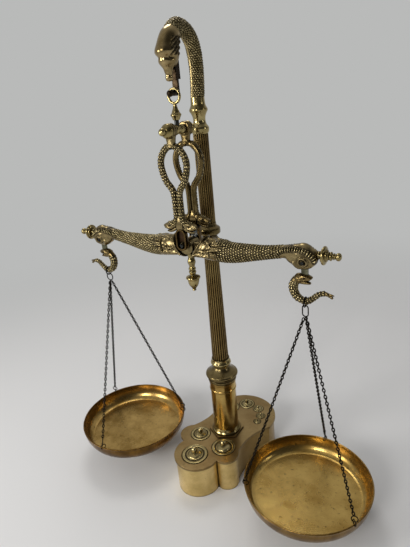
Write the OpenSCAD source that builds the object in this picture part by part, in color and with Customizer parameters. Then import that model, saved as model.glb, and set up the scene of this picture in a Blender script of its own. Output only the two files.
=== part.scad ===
// Brass counter balance on a column: a beam with cast fish arms hangs from a bird's beak,
// two pans hang from serpent hooks, and graded weights stand in wells in the base.
// Millimetres, +Z up. The origin is under the column, on the surface that the base stands on.
// The beam runs along X and the front of the balance faces -Y.

/* [Base] */
// Height of the whole base, its top plate included
base_h = 60; // [50:1:75]
// Thickness of the top plate
plate_t = 4; // [3:0.5:6]
// How far the top plate stands out past the casing
plate_lip = 2.5; // [1:0.5:4]
// Thickness of the casing's side wall
casing_wall = 5; // [3:0.5:7]
// Thickness of the casing's deck, which holds the wells
deck_t = 22; // [18:1:30]
// Turn of the base about the column, against the beam
base_turn = -11.7; // [-14:0.1:0]
// Radius of the round front lobe
front_r = 38.5; // [34:0.5:42]
// Distance of the front lobe's centre before the column
front_y = 75; // [70:1:80]
// Radius of each side lobe
side_r = 21.5; // [19:0.5:22]
// Distance of a side lobe's centre from the middle
side_x = 38.5; // [36:0.5:39]
// Distance of the side lobes' centres before the column
side_y = 47; // [44:1:50]
// Radius of the round rear of the base
rear_r = 58; // [54:0.5:62]
// Distance of the rear curve's centre behind the column
rear_y = 46; // [42:1:50]
// Distance of the base's rear corners behind the column
horn_y = 50; // [46:1:54]
// Half the width of the base at its waist
waist_w = 46; // [42:0.5:48]
// Radius of the hollow curve at the waist
waist_r = 92; // [84:1:110]
// Diameter of the plate screws' heads
screw_head_d = 5; // [4:0.5:6]

/* [Weights] */
// Diameters of the weights, the largest first
weight_d = [42.8, 38.8, 33.8, 29.8, 27.3, 18.6, 15.4, 12.2]; // [8:0.1:46]
// Heights of the weights' discs
weight_h = [16, 12, 9, 8, 7, 6, 5.5, 5]; // [4:0.5:18]
// Gap round each weight in its well
weight_gap = 0.9; // [0.3:0.1:1]
// How far the discs stand above the top plate
weight_proud = 0.6; // [0:0.1:1.5]
// Distance of the largest weight before the column
first_weight_y = 80.5; // [79:0.5:82]
// Distance of the front pair of weights from the middle
pair_x = 26.7; // [26:0.1:28]
// Distance of the front pair of weights before the column
pair_y = 39; // [38.5:0.1:40]
// Radius of the arc that the small weights stand on
arc_r = 32; // [31:0.5:33]
// Places of the small weights on their arc, in degrees
arc_turns = [175, 116.5, 69, 31, 1]; // [0:0.5:180]

/* [Column] */
// Width of the six-sided flange over its corners
flange_w = 59; // [56:0.5:60]
// Thickness of the six-sided flange
flange_t = 3; // [2:0.5:5]
// Diameter of the pedestal's foot ring
foot_d = 48.6; // [46:0.2:50]
// Height of the pedestal's foot ring
foot_h = 9; // [7:0.5:12]
// Diameter of the pedestal's barrel
barrel_d = 42.5; // [40:0.5:44]
// Height of the pedestal's barrel
barrel_h = 74.4; // [65:0.2:85]
// Wall of the pedestal's barrel
barrel_wall = 4; // [3:0.5:6]
// Diameter of the band above the barrel
band_d = 45; // [44.5:0.5:47]
// Height of the band above the barrel
band_h = 18; // [14:0.5:22]
// Diameter of the pedestal's moulded cap
cap_d = 53.2; // [51:0.2:56]
// Height of the pedestal's moulded cap
cap_h = 26.4; // [22:0.2:30]
// Diameter of the ring under the shaft
ring_d = 33.6; // [31:0.2:36]
// Height of the ring under the shaft
ring_h = 15; // [12:0.5:18]
// Diameter of the reeded shaft at its foot
shaft_foot_d = 27; // [25:0.2:29]
// Diameter of the reeded shaft at its top
shaft_top_d = 21.4; // [20:0.2:23]
// Number of reeds round the shaft
reeds = 22; // [16:1:28]
// Depth of the grooves between the reeds
reed_depth = 0.9; // [0.5:0.1:1.2]
// Length of the lower shaft
lower_shaft_h = 199; // [180:1:215]
// Diameter of the turned knop
knop_d = 33.6; // [31:0.2:36]
// Height of the turned knop with its bell
knop_h = 31.3; // [28:0.1:35]
// Length of the upper shaft
upper_shaft_h = 126; // [110:1:140]
// Diameter of the rings of the top collar
collar_d = 25; // [23:0.2:27]
// Height of the top collar
collar_h = 47; // [42:0.5:52]
// Diameter of the tie rod
rod_d = 10; // [8:0.5:12]
// Width of the rod nut over its flats
nut_w = 17; // [15:0.5:19]

/* [Neck and head] */
// Distance of the beam before the column
overhang = 53; // [52:0.5:56]
// Diameter of the gooseneck where it leaves the collar
neck_d = 18.8; // [18:0.2:20]
// Height of the gooseneck's centre line above the collar
neck_rise = 82; // [78:1:86]
// Width of the bird's head
head_w = 24.4; // [22:0.2:27]
// Height of the iron hook's wire above the collar
hook_rise = 7; // [5:0.5:9]
// How far the neck's crest stands out over the crown
neck_crest = 3.4; // [1.5:0.1:4]
// Diameter of the iron hook's wire
hook_wire = 6.4; // [5.5:0.1:7]

/* [Suspension] */
// Outside diameter of the suspension ring
eye_d = 20.4; // [19.6:0.2:22]
// Wire of the suspension ring
eye_wire = 3.6; // [3:0.1:4]
// Drop from the iron hook to the shackle's pin
eye_drop = 43.4; // [42:0.2:46]
// Diameter of the swivel's round cap
cap_bead_d = 13.6; // [12.5:0.1:15]
// Diameter of the swivel's shank
swivel_d = 6; // [5:0.1:6.5]
// Diameter of the barrel that turns on the shackle's pin
barrel_pin_d = 13; // [11.5:0.1:14]
// Running clearance on each side of a turning fit
run_gap = 0.05; // [0.03:0.01:0.1]

/* [Shackle] */
// Distance of each shackle plate from the beam's middle
plate_y = 16.5; // [16:0.1:18]
// Thickness of the serpents' bodies
serpent_d = 8.4; // [7.4:0.1:8.8]
// Width of the shackle over its serpents
shackle_w = 48.6; // [44:0.2:52]
// Drop from the shackle's pin to the beam's knife edge
shackle_drop = 154.6; // [150:0.2:160]
// Diameter of the shackle's pin
pin_d = 6; // [5:0.1:6.5]
// Diameter of the plates' round tops and of the dome nuts
dome_d = 18.6; // [17:0.2:19.4]
// Width of the bearing housings
housing_w = 17; // [16:0.5:18]
// Height of the bearing housings
housing_h = 31; // [30:0.5:32]
// Thickness of the bearing housings
housing_t = 7; // [6:0.2:8]
// Thickness of the steel bearings
bearing_t = 3; // [2:0.1:3.2]

/* [Beam] */
// Distance of each end pivot from the middle
arm_l = 168; // [166:1:176]
// Drop from the knife edge to the end pivots
end_drop = 5; // [3:0.2:7]
// Width of the knife edge's back
knife_w = 6.4; // [5:0.1:7]
// Height of the knife edge
knife_h = 5.5; // [5:0.1:6]
// Diameter of the beam's central drum
drum_d = 22; // [20:0.2:23]
// Diameter of the bar that carries the arms
bar_d = 12; // [10:0.2:13]
// Height of the fish heads at their mouths
mouth_h = 31; // [29:0.2:33]
// Width of the fish heads at their mouths
mouth_w = 28; // [26:0.2:29]
// Diameter of the end pins
end_pin_d = 4; // [3.4:0.1:4.6]
// Diameter of the end finials' discs
finial_d = 23; // [20:0.5:25]
// Length of the end finials
finial_l = 28; // [25:0.5:31]
// Length of the pendant under the beam
pendant_l = 58.5; // [52:0.5:64]
// Diameter of the pendant's acorn
acorn_d = 20.6; // [18:0.2:23]

/* [Hooks and pans] */
// Width of the steel hanging links
link_w = 8.4; // [7.4:0.1:8.6]
// Thickness of the steel hanging links
link_t = 3.6; // [3:0.1:4]
// Drop from an end pivot to the middle of the hook's wire
hook_drop = 53.4; // [51:0.2:56]
// Diameter of the hook where the ring hangs
hook_d = 8; // [7.4:0.1:8.6]
// Wire of the hanging rings
ring_wire = 1.6; // [1.4:0.1:1.8]
// Inside diameter of the upper rings
upper_ring_d = 11.2; // [10.8:0.1:12]
// Inside diameter of the left lower ring
lower_ring_d = 10.4; // [9:0.1:11]
// Inside height of the right oval link
oval_h = 14; // [11:0.2:16]
// Inside width of the right oval link
oval_w = 6; // [5:0.1:8]
// Free gap between hanging links
hang_gap = 0.2; // [0.1:0.05:0.3]
// Diameter of the chains
chain_d = 2.2; // [1.8:0.1:2.6]
// Drop from an end pivot to a pan's rim
pan_drop = 343; // [335:1:350]
// Radius of the pans
pan_r = 94; // [88:0.5:94]
// Depth of the pans
pan_depth = 28; // [24:0.5:32]
// Width of the pans' curved wall, seen from above
pan_wall_w = 16; // [12:0.5:20]
// Thickness of the pans' sheet
pan_t = 1.2; // [0.9:0.1:1.5]
// Diameter of the rolled rim
rim_d = 2.4; // [2:0.1:2.8]
// Diameter of the wire loops at the pans' rims, at the middle of the wire
loop_d = 6.6; // [6.2:0.1:7.4]
// Wire of the loops at the pans' rims
loop_wire = 1.4; // [1.2:0.1:1.5]
// Diameter of the holes in the pans' rims
rim_hole_d = 2.6; // [2.4:0.1:3]
// Turn of the first chain of the left pan
left_turn = 35; // [20:1:50]
// Turn of the first chain of the right pan
right_turn = 92; // [80:1:105]

/* [Hidden] */
$fn = 96;

brass = "#b08d4a";
pale_brass = "#c2a866";
dark_brass = "#8a6a35";
steel = "#4a4a48";

// Cuts run this far past the faces that they open
over = 1;
// A fixed fit between two pieces that don't turn
fit_gap = 0.05;

// Heights of the stacked pieces, from the base to the beam
casing_h = base_h - plate_t;
flange_z = base_h;
foot_z = flange_z + flange_t;
barrel_z = foot_z + foot_h;
band_z = barrel_z + barrel_h;
cap_z = band_z + band_h;
ring_z = cap_z + cap_h;
lower_shaft_z = ring_z + ring_h;
knop_z = lower_shaft_z + lower_shaft_h;
upper_shaft_z = knop_z + knop_h;
collar_z = upper_shaft_z + upper_shaft_h;
neck_z = collar_z + collar_h;
hook_z = neck_z + hook_rise;
pin_z = hook_z - eye_drop;
knife_z = pin_z - shackle_drop;
pivot_z = knife_z - end_drop;
hook_low_z = pivot_z - hook_drop;
rim_z = pivot_z - pan_drop;

// Base and rod
screw_inset = 6;
screw_d = 2.4;
screw_l = 12;
rod_bore_r = rod_d / 2 + fit_gap;
washer_t = 2;
washer_d = 26;
nut_h = 8;
rod_grip = 15;
cavity_top = casing_h - deck_t;

// Weight knobs, as shares of each weight's diameter
knob_foot = 0.5;
knob_neck = 0.1;
knob_ball = 0.18;
knob_h = 0.34;

// Shackle and beam
stem_barrel_w = 2 * plate_y - serpent_d - 2;
stem_seat = 1.6;
strap_w = 11;
strap_t = 6.4;
window_r = 5;
bearing_rim = 2.8;
housing_z = knife_z + window_r + 7.5;
housing_top_z = housing_z + housing_h / 2;
knife_l = 2 * plate_y + housing_t - 1;
drum_w = 20;
mouth_x = drum_d / 2 - 4;
mouth_depth = 20;
mouth_lean = 22;
bar_l = 62;
end_z = 9.3;
finial_x = arm_l + 16.6;
finial_pin_d = 4;
finial_pin_l = 8;
pendant_pin_d = 5;
pendant_pin_l = 7;
slot_gap = 0.6;

// Hanging links and pans
ring_r = upper_ring_d / 2 + ring_wire / 2;
upper_ring_z = hook_low_z + hook_d / 2 + hang_gap - upper_ring_d / 2;
lower_hang_z = upper_ring_z - upper_ring_d / 2 + hang_gap;
left_ring_z = lower_hang_z - lower_ring_d / 2;
oval_z = lower_hang_z - oval_h / 2;
left_chain_z = lower_hang_z - lower_ring_d - ring_wire - hang_gap;
right_chain_z = lower_hang_z - oval_h - ring_wire - hang_gap;
chain_start = 0.72 * chain_d;
loop_r = pan_r - rim_d / 2;
loop_z = rim_z - 1.2;
rim_hole_z = loop_z - loop_d / 2 - (rim_hole_d - loop_wire) / 2 + hang_gap;
chain_end_z = loop_z + loop_d / 2 + loop_wire / 2 + hang_gap;

// Smooth curve through knots, with the given number of steps between two knots
function curve_point(a, b, c, d, t) =
    0.5 * (2 * b + (c - a) * t + (2 * a - 5 * b + 4 * c - d) * t * t + (3 * b - a - 3 * c + d) * t * t * t);
function smooth(k, steps) = [
    for (i = [0 : len(k) - 2], s = [0 : steps - 1])
        curve_point(k[max(i - 1, 0)], k[i], k[i + 1], k[min(i + 2, len(k) - 1)], s / steps),
    k[len(k) - 1]
];

// Direction of a curve of stations at station i
function along(st, i) =
    let (a = st[max(i - 1, 0)], b = st[min(i + 1, len(st) - 1)], d = [b[0] - a[0], b[1] - a[1]])
    d / norm(d);

// Solid swept along stations in the XZ plane, each [x, z, half height, half width],
// from one station to another
module swept_part(st, sides, first, last) {
    n = last - first + 1;
    points = [
        for (i = [first : last], j = [0 : sides - 1])
            let (t = along(st, i), a = 360 * j / sides, u = st[i][2] * cos(a))
            [st[i][0] - t[1] * u, st[i][3] * sin(a), st[i][1] + t[0] * u]
    ];
    faces = concat(
        [[for (j = [0 : sides - 1]) sides - 1 - j]],
        [[for (j = [0 : sides - 1]) (n - 1) * sides + j]],
        [for (i = [0 : n - 2], j = [0 : sides - 1])
            [i * sides + j, i * sides + (j + 1) % sides, (i + 1) * sides + j]],
        [for (i = [0 : n - 2], j = [0 : sides - 1])
            [(i + 1) * sides + (j + 1) % sides, (i + 1) * sides + j, i * sides + (j + 1) % sides]]
    );
    polyhedron(points = points, faces = faces, convexity = 8);
}

module swept(st, sides) {
    swept_part(st, sides, 0, len(st) - 1);
}

// Turned piece: profile is [radius, height] from its foot up, hollow to the bore
module turned(profile, bore_r) {
    top = profile[len(profile) - 1][1];
    rotate_extrude()
        polygon(concat([[bore_r, profile[0][1]]], profile, [[bore_r, top]]));
}

// Ring of round wire in the XZ plane
module wire_ring(mid_r, wire) {
    rotate([90, 0, 0])
        rotate_extrude()
            translate([mid_r, 0])
                circle(d = wire);
}

// Bar with round ends, standing along Z, thick along Y
module stadium(w, h, t) {
    rotate([90, 0, 0])
        translate([0, 0, -t / 2])
            linear_extrude(t)
                union() {
                    square([w, h - w], center = true);
                    translate([0, (h - w) / 2]) circle(d = w);
                    translate([0, (w - h) / 2]) circle(d = w);
                }
}

// Round bar along Y, centred
module bar_y(d, l) {
    rotate([90, 0, 0])
        cylinder(d = d, h = l, center = true);
}

module left_side() {
    mirror([1, 0, 0])
        children();
}

// Places a child where the hanging parts are, before the column
module hung() {
    translate([0, -overhang, 0])
        children();
}

// Outline of the base, grown or shrunk by a margin
module base_outline(grow) {
    mid_front = side_y - side_r / 2;
    translate([0, -front_y])
        circle(r = front_r + grow);
    for (s = [-1, 1])
        translate([s * side_x, -side_y])
            circle(r = side_r + grow);
    translate([-side_x, -side_y])
        square([2 * side_x, side_y]);
    intersection() {
        translate([0, rear_y])
            circle(r = rear_r + grow);
        translate([-rear_r * 2, horn_y - over])
            square([rear_r * 4, rear_r * 2]);
    }
    difference() {
        translate([-rear_r - grow, -mid_front])
            square([2 * (rear_r + grow), mid_front + horn_y]);
        for (s = [-1, 1])
            translate([s * (waist_w + waist_r), 3])
                circle(r = waist_r - grow);
    }
}

// Places of the weights on the base
weight_places = concat(
    [[0, -first_weight_y], [pair_x, -pair_y], [-pair_x, -pair_y]],
    [for (a = arc_turns) [arc_r * cos(a), rear_y + arc_r * sin(a)]]
);

// Floor height of a weight's well
function well_z(i) = base_h + weight_proud - weight_h[i];

module wells() {
    for (i = [0 : len(weight_d) - 1])
        translate([weight_places[i][0], weight_places[i][1], well_z(i)])
            cylinder(d = weight_d[i] + 2 * weight_gap, h = base_h);
}

// Places of the screws that hold the plate down
screw_places = concat(
    [[0, -(front_y + front_r - screw_inset)]],
    [for (s = [-1, 1]) [s * (side_x + side_r - screw_inset), -side_y]],
    [for (a = [20, 90, 160]) [(rear_r - screw_inset) * cos(a), rear_y + (rear_r - screw_inset) * sin(a)]]
);

module plate_screw(gap) {
    sink = (screw_head_d - screw_d) / 2;
    translate([0, 0, base_h - sink])
        cylinder(d1 = screw_d + 2 * gap, d2 = screw_head_d + 2 * gap, h = sink);
    translate([0, 0, base_h - screw_l])
        cylinder(d = screw_d + 2 * gap, h = screw_l - sink);
}

module base_casing() {
    color(pale_brass)
        rotate([0, 0, base_turn])
            difference() {
                linear_extrude(casing_h)
                    base_outline(-plate_lip);
                translate([0, 0, -over])
                    linear_extrude(cavity_top + over)
                        base_outline(-plate_lip - casing_wall);
                wells();
                for (p = screw_places)
                    translate(p)
                        plate_screw(fit_gap);
                cylinder(r = rod_bore_r, h = base_h);
            }
}

module base_plate() {
    color(pale_brass)
        rotate([0, 0, base_turn])
            difference() {
                translate([0, 0, casing_h])
                    linear_extrude(plate_t)
                        base_outline(0);
                wells();
                for (p = screw_places)
                    translate(p)
                        plate_screw(fit_gap);
                cylinder(r = rod_bore_r, h = base_h + over);
            }
}

module plate_screws() {
    color(dark_brass)
        rotate([0, 0, base_turn])
            for (p = screw_places)
                translate(p)
                    plate_screw(0);
}

module weight(i) {
    d = weight_d[i];
    h = weight_h[i];
    ball_z = h + knob_h * d - knob_ball * d / 2;
    color(pale_brass)
        rotate([0, 0, base_turn])
            translate([weight_places[i][0], weight_places[i][1], well_z(i)]) {
                turned([
                    [d / 2 - 0.4, 0], [d / 2, 0.5], [d / 2, h - 0.6], [d / 2 - 0.6, h],
                    [0.41 * d, h], [0.4 * d, h - 0.7], [0.37 * d, h - 0.7], [0.36 * d, h],
                    [knob_foot * d / 2, h], [0.94 * knob_foot * d / 2, h + 0.04 * d],
                    [0.78 * knob_foot * d / 2, h + 0.075 * d], [0.5 * knob_foot * d / 2, h + 0.105 * d],
                    [0.3 * knob_foot * d / 2, h + 0.125 * d], [knob_neck * d / 2, h + 0.16 * d],
                    [knob_neck * d / 2, ball_z]
                ], 0);
                translate([0, 0, ball_z])
                    sphere(d = knob_ball * d);
            }
}

module tie_rod() {
    color(steel)
        translate([0, 0, cavity_top - washer_t - nut_h - over])
            cylinder(d = rod_d, h = collar_z + rod_grip - cavity_top + washer_t + nut_h + over);
}

module rod_washer() {
    color(steel)
        translate([0, 0, cavity_top - washer_t])
            difference() {
                cylinder(d = washer_d, h = washer_t);
                translate([0, 0, -over])
                    cylinder(r = rod_bore_r, h = washer_t + 2 * over);
            }
}

module rod_nut() {
    color(steel)
        translate([0, 0, cavity_top - washer_t - nut_h])
            difference() {
                cylinder(d = nut_w / cos(30), h = nut_h, $fn = 6);
                translate([0, 0, -over])
                    cylinder(r = rod_bore_r, h = nut_h + 2 * over);
            }
}

module column_flange() {
    color(brass)
        translate([0, 0, flange_z])
            difference() {
                rotate([0, 0, 30])
                    cylinder(d = flange_w, h = flange_t, $fn = 6);
                translate([0, 0, -over])
                    cylinder(r = rod_bore_r, h = flange_t + 2 * over);
            }
}

module pedestal_foot() {
    r = foot_d / 2;
    b = barrel_d / 2;
    color(brass)
        translate([0, 0, foot_z])
            turned(smooth([
                [r - 0.6, 0], [r, 0.14 * foot_h], [r, 0.34 * foot_h], [r - 1.2, 0.5 * foot_h],
                [b + 1, 0.78 * foot_h], [b + 0.3, foot_h]
            ], 3), rod_bore_r);
}

module pedestal_barrel() {
    color(brass)
        translate([0, 0, barrel_z])
            difference() {
                cylinder(d = barrel_d, h = barrel_h);
                translate([0, 0, -over])
                    cylinder(d = barrel_d - 2 * barrel_wall, h = barrel_h + 2 * over);
            }
}

module pedestal_band() {
    r = band_d / 2;
    color(brass)
        translate([0, 0, band_z])
            turned([
                [barrel_d / 2, 0], [r, 0.08 * band_h], [r, 0.2 * band_h], [r - 0.7, 0.25 * band_h],
                [r - 0.7, 0.78 * band_h], [r, 0.84 * band_h], [r, 0.95 * band_h], [r - 1, band_h]
            ], barrel_d / 2 - barrel_wall);
}

module pedestal_cap() {
    r = cap_d / 2;
    b = band_d / 2;
    n = shaft_foot_d / 2;
    color(dark_brass)
        translate([0, 0, cap_z])
            turned(smooth([
                [b - 0.6, 0], [b + 0.8, 0.04 * cap_h], [b + 1.3, 0.1 * cap_h], [b + 1.1, 0.17 * cap_h],
                [b - 0.2, 0.21 * cap_h], [b - 0.4, 0.235 * cap_h], [b + 1.7, 0.265 * cap_h],
                [b + 1.9, 0.3 * cap_h], [b + 1.5, 0.335 * cap_h], [b + 1.1, 0.355 * cap_h],
                [r - 1.2, 0.375 * cap_h], [r, 0.42 * cap_h], [r, 0.5 * cap_h], [r - 0.9, 0.56 * cap_h],
                [r - 2.8, 0.6 * cap_h], [0.78 * r, 0.68 * cap_h], [0.66 * r, 0.77 * cap_h],
                [n + 1.7, 0.87 * cap_h], [n + 0.2, 0.95 * cap_h], [n - 0.2, cap_h]
            ], 2), rod_bore_r);
}

module shaft_ring() {
    r = ring_d / 2;
    n = shaft_foot_d / 2;
    color(brass)
        translate([0, 0, ring_z])
            turned(smooth([
                [n - 0.2, 0], [n + 0.6, 0.14 * ring_h], [r - 0.8, 0.3 * ring_h], [r, 0.46 * ring_h],
                [r - 0.8, 0.62 * ring_h], [n + 0.8, 0.78 * ring_h], [n + 1.2, ring_h]
            ], 3), rod_bore_r);
}

// Outline of a reeded shaft of a given outer radius
module reeded_outline(r) {
    steps = 6;
    polygon([
        for (k = [0 : reeds * steps - 1])
            let (a = 360 * k / (reeds * steps), q = r - reed_depth * (1 - abs(sin(a * reeds / 2))))
            [q * cos(a), q * sin(a)]
    ]);
}

module reeded_shaft(d1, d2, h) {
    difference() {
        linear_extrude(height = h, scale = d2 / d1)
            reeded_outline(d1 / 2);
        translate([0, 0, -over])
            cylinder(r = rod_bore_r, h = h + 2 * over);
    }
}

module lower_shaft() {
    color(dark_brass)
        translate([0, 0, lower_shaft_z])
            reeded_shaft(shaft_foot_d, shaft_top_d + 0.4, lower_shaft_h);
}

module knop() {
    r = knop_d / 2;
    n = shaft_top_d / 2;
    color(dark_brass)
        translate([0, 0, knop_z])
            turned(smooth([
                [n + 0.4, 0], [n + 1.8, 0.1 * knop_h], [n + 3, 0.2 * knop_h], [n + 1.4, 0.28 * knop_h],
                [n + 0.6, 0.35 * knop_h], [n + 2, 0.4 * knop_h], [r - 0.8, 0.49 * knop_h],
                [r, 0.55 * knop_h], [r, 0.7 * knop_h], [r - 1, 0.77 * knop_h], [n + 1.6, 0.85 * knop_h],
                [n + 0.8, 0.92 * knop_h], [n + 0.4, knop_h]
            ], 2), rod_bore_r);
}

module upper_shaft() {
    color(dark_brass)
        translate([0, 0, upper_shaft_z])
            reeded_shaft(shaft_top_d + 0.2, shaft_top_d, upper_shaft_h);
}

module top_collar() {
    r = collar_d / 2;
    n = shaft_top_d / 2;
    t = neck_d / 2;
    color(brass)
        translate([0, 0, collar_z])
            difference() {
                turned(smooth([
                    [n, 0], [r - 0.4, 0.06 * collar_h], [r, 0.14 * collar_h], [r - 0.8, 0.2 * collar_h],
                    [t, 0.27 * collar_h], [t - 0.9, 0.37 * collar_h], [t - 0.4, 0.48 * collar_h],
                    [r - 1.4, 0.58 * collar_h], [r, 0.63 * collar_h], [r, 0.68 * collar_h],
                    [r - 1.2, 0.73 * collar_h], [t + 0.6, 0.8 * collar_h], [t + 0.2, 0.9 * collar_h],
                    [t + 0.1, collar_h]
                ], 2), 0);
                translate([0, 0, -over])
                    cylinder(r = rod_bore_r, h = rod_grip + over);
            }
}

// Stations of the gooseneck: [before the column, height, half height, half width],
// its end standing out by a crest
function neck_knots(crest) = let (r = neck_d / 2, k = neck_rise, o = overhang) [
    [0, neck_z - neck_sink, r, r],
    [-2.5, neck_z + 0.17 * k, r, r],
    [-3.8, neck_z + 0.38 * k, r + 0.2, r],
    [-3, neck_z + 0.58 * k, r + 0.4, r + 0.2],
    [1.2, neck_z + 0.78 * k, r + 0.4, r + 0.3],
    [10, neck_z + 0.92 * k, r + 0.2, r + 0.2],
    [0.41 * o, neck_z + 0.99 * k, r + 0.6, r + 0.3],
    [0.64 * o, neck_z + k, r + 0.8 + crest / 3, r + 0.6],
    [0.82 * o, neck_z + 0.92 * k, r + 1 + crest, r + 0.8 + 0.5 * crest]
];

// Stations of the bird's head, from behind the nape to the beak's tip
function head_knots() = let (w = head_w / 2, k = neck_rise, o = overhang) [
    [0.94 * o, neck_z + 0.84 * k, w + 1.6, w - 0.6],
    [o + 2.5, neck_z + 0.71 * k, w + 3.4, w],
    [o + 4.6, neck_z + 0.59 * k, w + 3, w - 0.2],
    [o + 5.4, neck_z + 0.5 * k, w + 0.2, w - 2],
    [o + 5.6, neck_z + 0.43 * k, 0.56 * w, 0.5 * w],
    [o + 5.6, neck_z + 0.34 * k, 0.42 * w, 0.4 * w],
    [o + 5.4, neck_z + 0.27 * k, 0.32 * w, 0.33 * w],
    [o + 5.4, neck_z + 0.24 * k, 0.16 * w, 0.17 * w]
];

// Turns a shape drawn in the XZ plane so that its +X points to the front
module to_front() {
    rotate([0, 0, -90])
        children();
}

neck_sides = 20;
neck_steps = 4;
neck_sink = 3;
nape = (len(neck_knots(0)) - 1) * neck_steps;
neck_line = smooth(concat(neck_knots(neck_crest), head_knots()), neck_steps);
head_line = smooth(concat(neck_knots(0), head_knots()), neck_steps);
jaw_w = 5;
jaw_t = 4.4;
jaw_y = 40.5;
bar_w = 7.6;
bar_t = 4;
bar_y0 = overhang - 6.5;
head_cut_z = neck_z + 0.56 * neck_rise;
jaw_low_z = neck_z + 0.28 * neck_rise;

module gooseneck() {
    color(dark_brass)
        difference() {
            to_front()
                swept_part(neck_line, neck_sides, 0, nape);
            translate([-neck_d, -neck_d, neck_z - 2 * neck_d])
                cube([2 * neck_d, 2 * neck_d, 2 * neck_d]);
        }
}

module hook_bar(gap) {
    translate([-bar_w / 2 - gap, -bar_y0 - bar_t / 2 - gap, hook_z])
        cube([bar_w + 2 * gap, bar_t + 2 * gap, head_cut_z - hook_z]);
}

module jaw_bar(gap) {
    translate([-jaw_w / 2 - gap, -jaw_y - jaw_t / 2 - gap, jaw_low_z])
        cube([jaw_w + 2 * gap, jaw_t + 2 * gap, head_cut_z - jaw_low_z]);
}

module bird_head() {
    color(brass)
        difference() {
            to_front()
                swept_part(head_line, neck_sides, nape, len(head_line) - 1);
            hook_bar(fit_gap);
            jaw_bar(fit_gap);
        }
}

module lower_jaw() {
    color(steel)
        jaw_bar(0);
}

module beak_hook() {
    tip_y = overhang + 8;
    color(steel) {
        hook_bar(0);
        translate([0, -bar_y0 + bar_t / 2, hook_z])
            rotate([90, 0, 0])
                cylinder(d = hook_wire, h = tip_y - bar_y0 + bar_t / 2);
        translate([0, -tip_y, hook_z])
            sphere(d = hook_wire + 1.8);
    }
}

eye_r = (eye_d - eye_wire) / 2;
eye_z = hook_z + hook_wire / 2 + hang_gap + eye_wire / 2 - eye_r;
eye_low_z = eye_z - eye_r;
cap_top_z = eye_low_z - 7;
cap_low_z = cap_top_z - 13;
spigot_d = 4.6;
spigot_l = 4;
head_d = swivel_d + 2.2;
head_t = 4;

module suspension_eye() {
    color(pale_brass)
        hung() {
            translate([0, 0, eye_z])
                wire_ring(eye_r, eye_wire);
            translate([0, 0, cap_top_z - spigot_l])
                cylinder(d = spigot_d, h = spigot_l);
            translate([0, 0, cap_top_z])
                turned(smooth([
                    [spigot_d / 2 + 1.2, 0], [spigot_d / 2 + 0.6, 2], [spigot_d / 2, 4.5],
                    [spigot_d / 2, eye_low_z - cap_top_z]
                ], 3), 0);
        }
}

module swivel_cap() {
    r = cap_bead_d / 2;
    h = cap_top_z - cap_low_z;
    color(pale_brass)
        hung()
            translate([0, 0, cap_low_z])
                difference() {
                    turned(smooth([
                        [swivel_d / 2 + 1.6, 0], [r - 1.4, 0.22 * h], [r, 0.4 * h], [r, 0.52 * h],
                        [r - 1.6, 0.68 * h], [spigot_d / 2 + 2.2, 0.84 * h], [spigot_d / 2 + 1.2, h]
                    ], 3), 0);
                    translate([0, 0, -over])
                        cylinder(d = swivel_d + 2 * run_gap, h = h);
                    translate([0, 0, 3])
                        cylinder(d = head_d + 2 * run_gap, h = head_t + 2 * run_gap);
                    translate([0, 0, h - spigot_l])
                        cylinder(d = spigot_d + 2 * fit_gap, h = spigot_l + over);
                }
}

stem_low_z = pin_z + barrel_pin_d / 2 - stem_seat;

module swivel_stem() {
    color(steel)
        hung() {
            translate([0, 0, cap_low_z + 3 + run_gap])
                cylinder(d = head_d, h = head_t);
            translate([0, 0, stem_low_z])
                cylinder(d = swivel_d, h = cap_low_z + 3 + run_gap - stem_low_z);
        }
}

// Turned barrel with a shallow waist, lying along Y on the shackle's pin
module swivel_barrel() {
    r = barrel_pin_d / 2;
    w = stem_barrel_w;
    color(brass)
        hung()
            difference() {
                translate([0, w / 2, pin_z])
                    rotate([90, 0, 0])
                        turned([
                            [r - 1.2, 0], [r - 0.3, 0.05 * w], [r, 0.13 * w], [r, 0.2 * w],
                            [r - 0.5, 0.25 * w], [r - 0.9, 0.28 * w], [r - 0.2, 0.32 * w],
                            [r - 0.2, 0.68 * w], [r - 0.9, 0.72 * w], [r - 0.5, 0.75 * w], [r, 0.8 * w],
                            [r, 0.87 * w], [r - 0.3, 0.95 * w], [r - 1.2, w]
                        ], pin_d / 2 + run_gap);
                translate([0, 0, stem_low_z])
                    cylinder(d = swivel_d + 2 * fit_gap, h = barrel_pin_d);
            }
}

// Stations of the right serpent of a shackle plate, from its arch to its snout
function serpent_knots() = let (s = serpent_d / 2, x = (shackle_w - serpent_d) / 2, d = shackle_drop) [
    [1.5, pin_z - 0.122 * d, s * 0.9, s * 0.8],
    [9, pin_z - 0.132 * d, s, s],
    [x - 2.4, pin_z - 0.2 * d, s, s],
    [x, pin_z - 0.285 * d, s, s],
    [x - 5, pin_z - 0.4 * d, s, s],
    [0.97 * s + 2.4, pin_z - 0.475 * d, s, s],
    [0.97 * s, pin_z - 0.54 * d, s, s],
    [0.97 * s, pin_z - 0.66 * d, s, s],
    [1.1 * s, pin_z - 0.73 * d, s, s],
    [s + 4.2, pin_z - 0.768 * d, s * 1.1, s],
    [s + 9, pin_z - 0.788 * d, s * 1.42, s * 1.16],
    [s + 14, pin_z - 0.797 * d, s * 1.36, s * 1.1],
    [s + 19, pin_z - 0.798 * d, s * 0.95, s * 0.9],
    [s + 22.6, pin_z - 0.795 * d, s * 0.4, s * 0.45]
];

// Stations of the right serpent's lower jaw
function serpent_jaw_knots() = let (s = serpent_d / 2, d = shackle_drop) [
    [s + 2.6, pin_z - 0.815 * d, 2.6, 2.8],
    [s + 8, pin_z - 0.834 * d, 2.3, 2.8],
    [s + 13.4, pin_z - 0.845 * d, 1.9, 2.3],
    [s + 17.6, pin_z - 0.843 * d, 1, 1.4]
];

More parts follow.
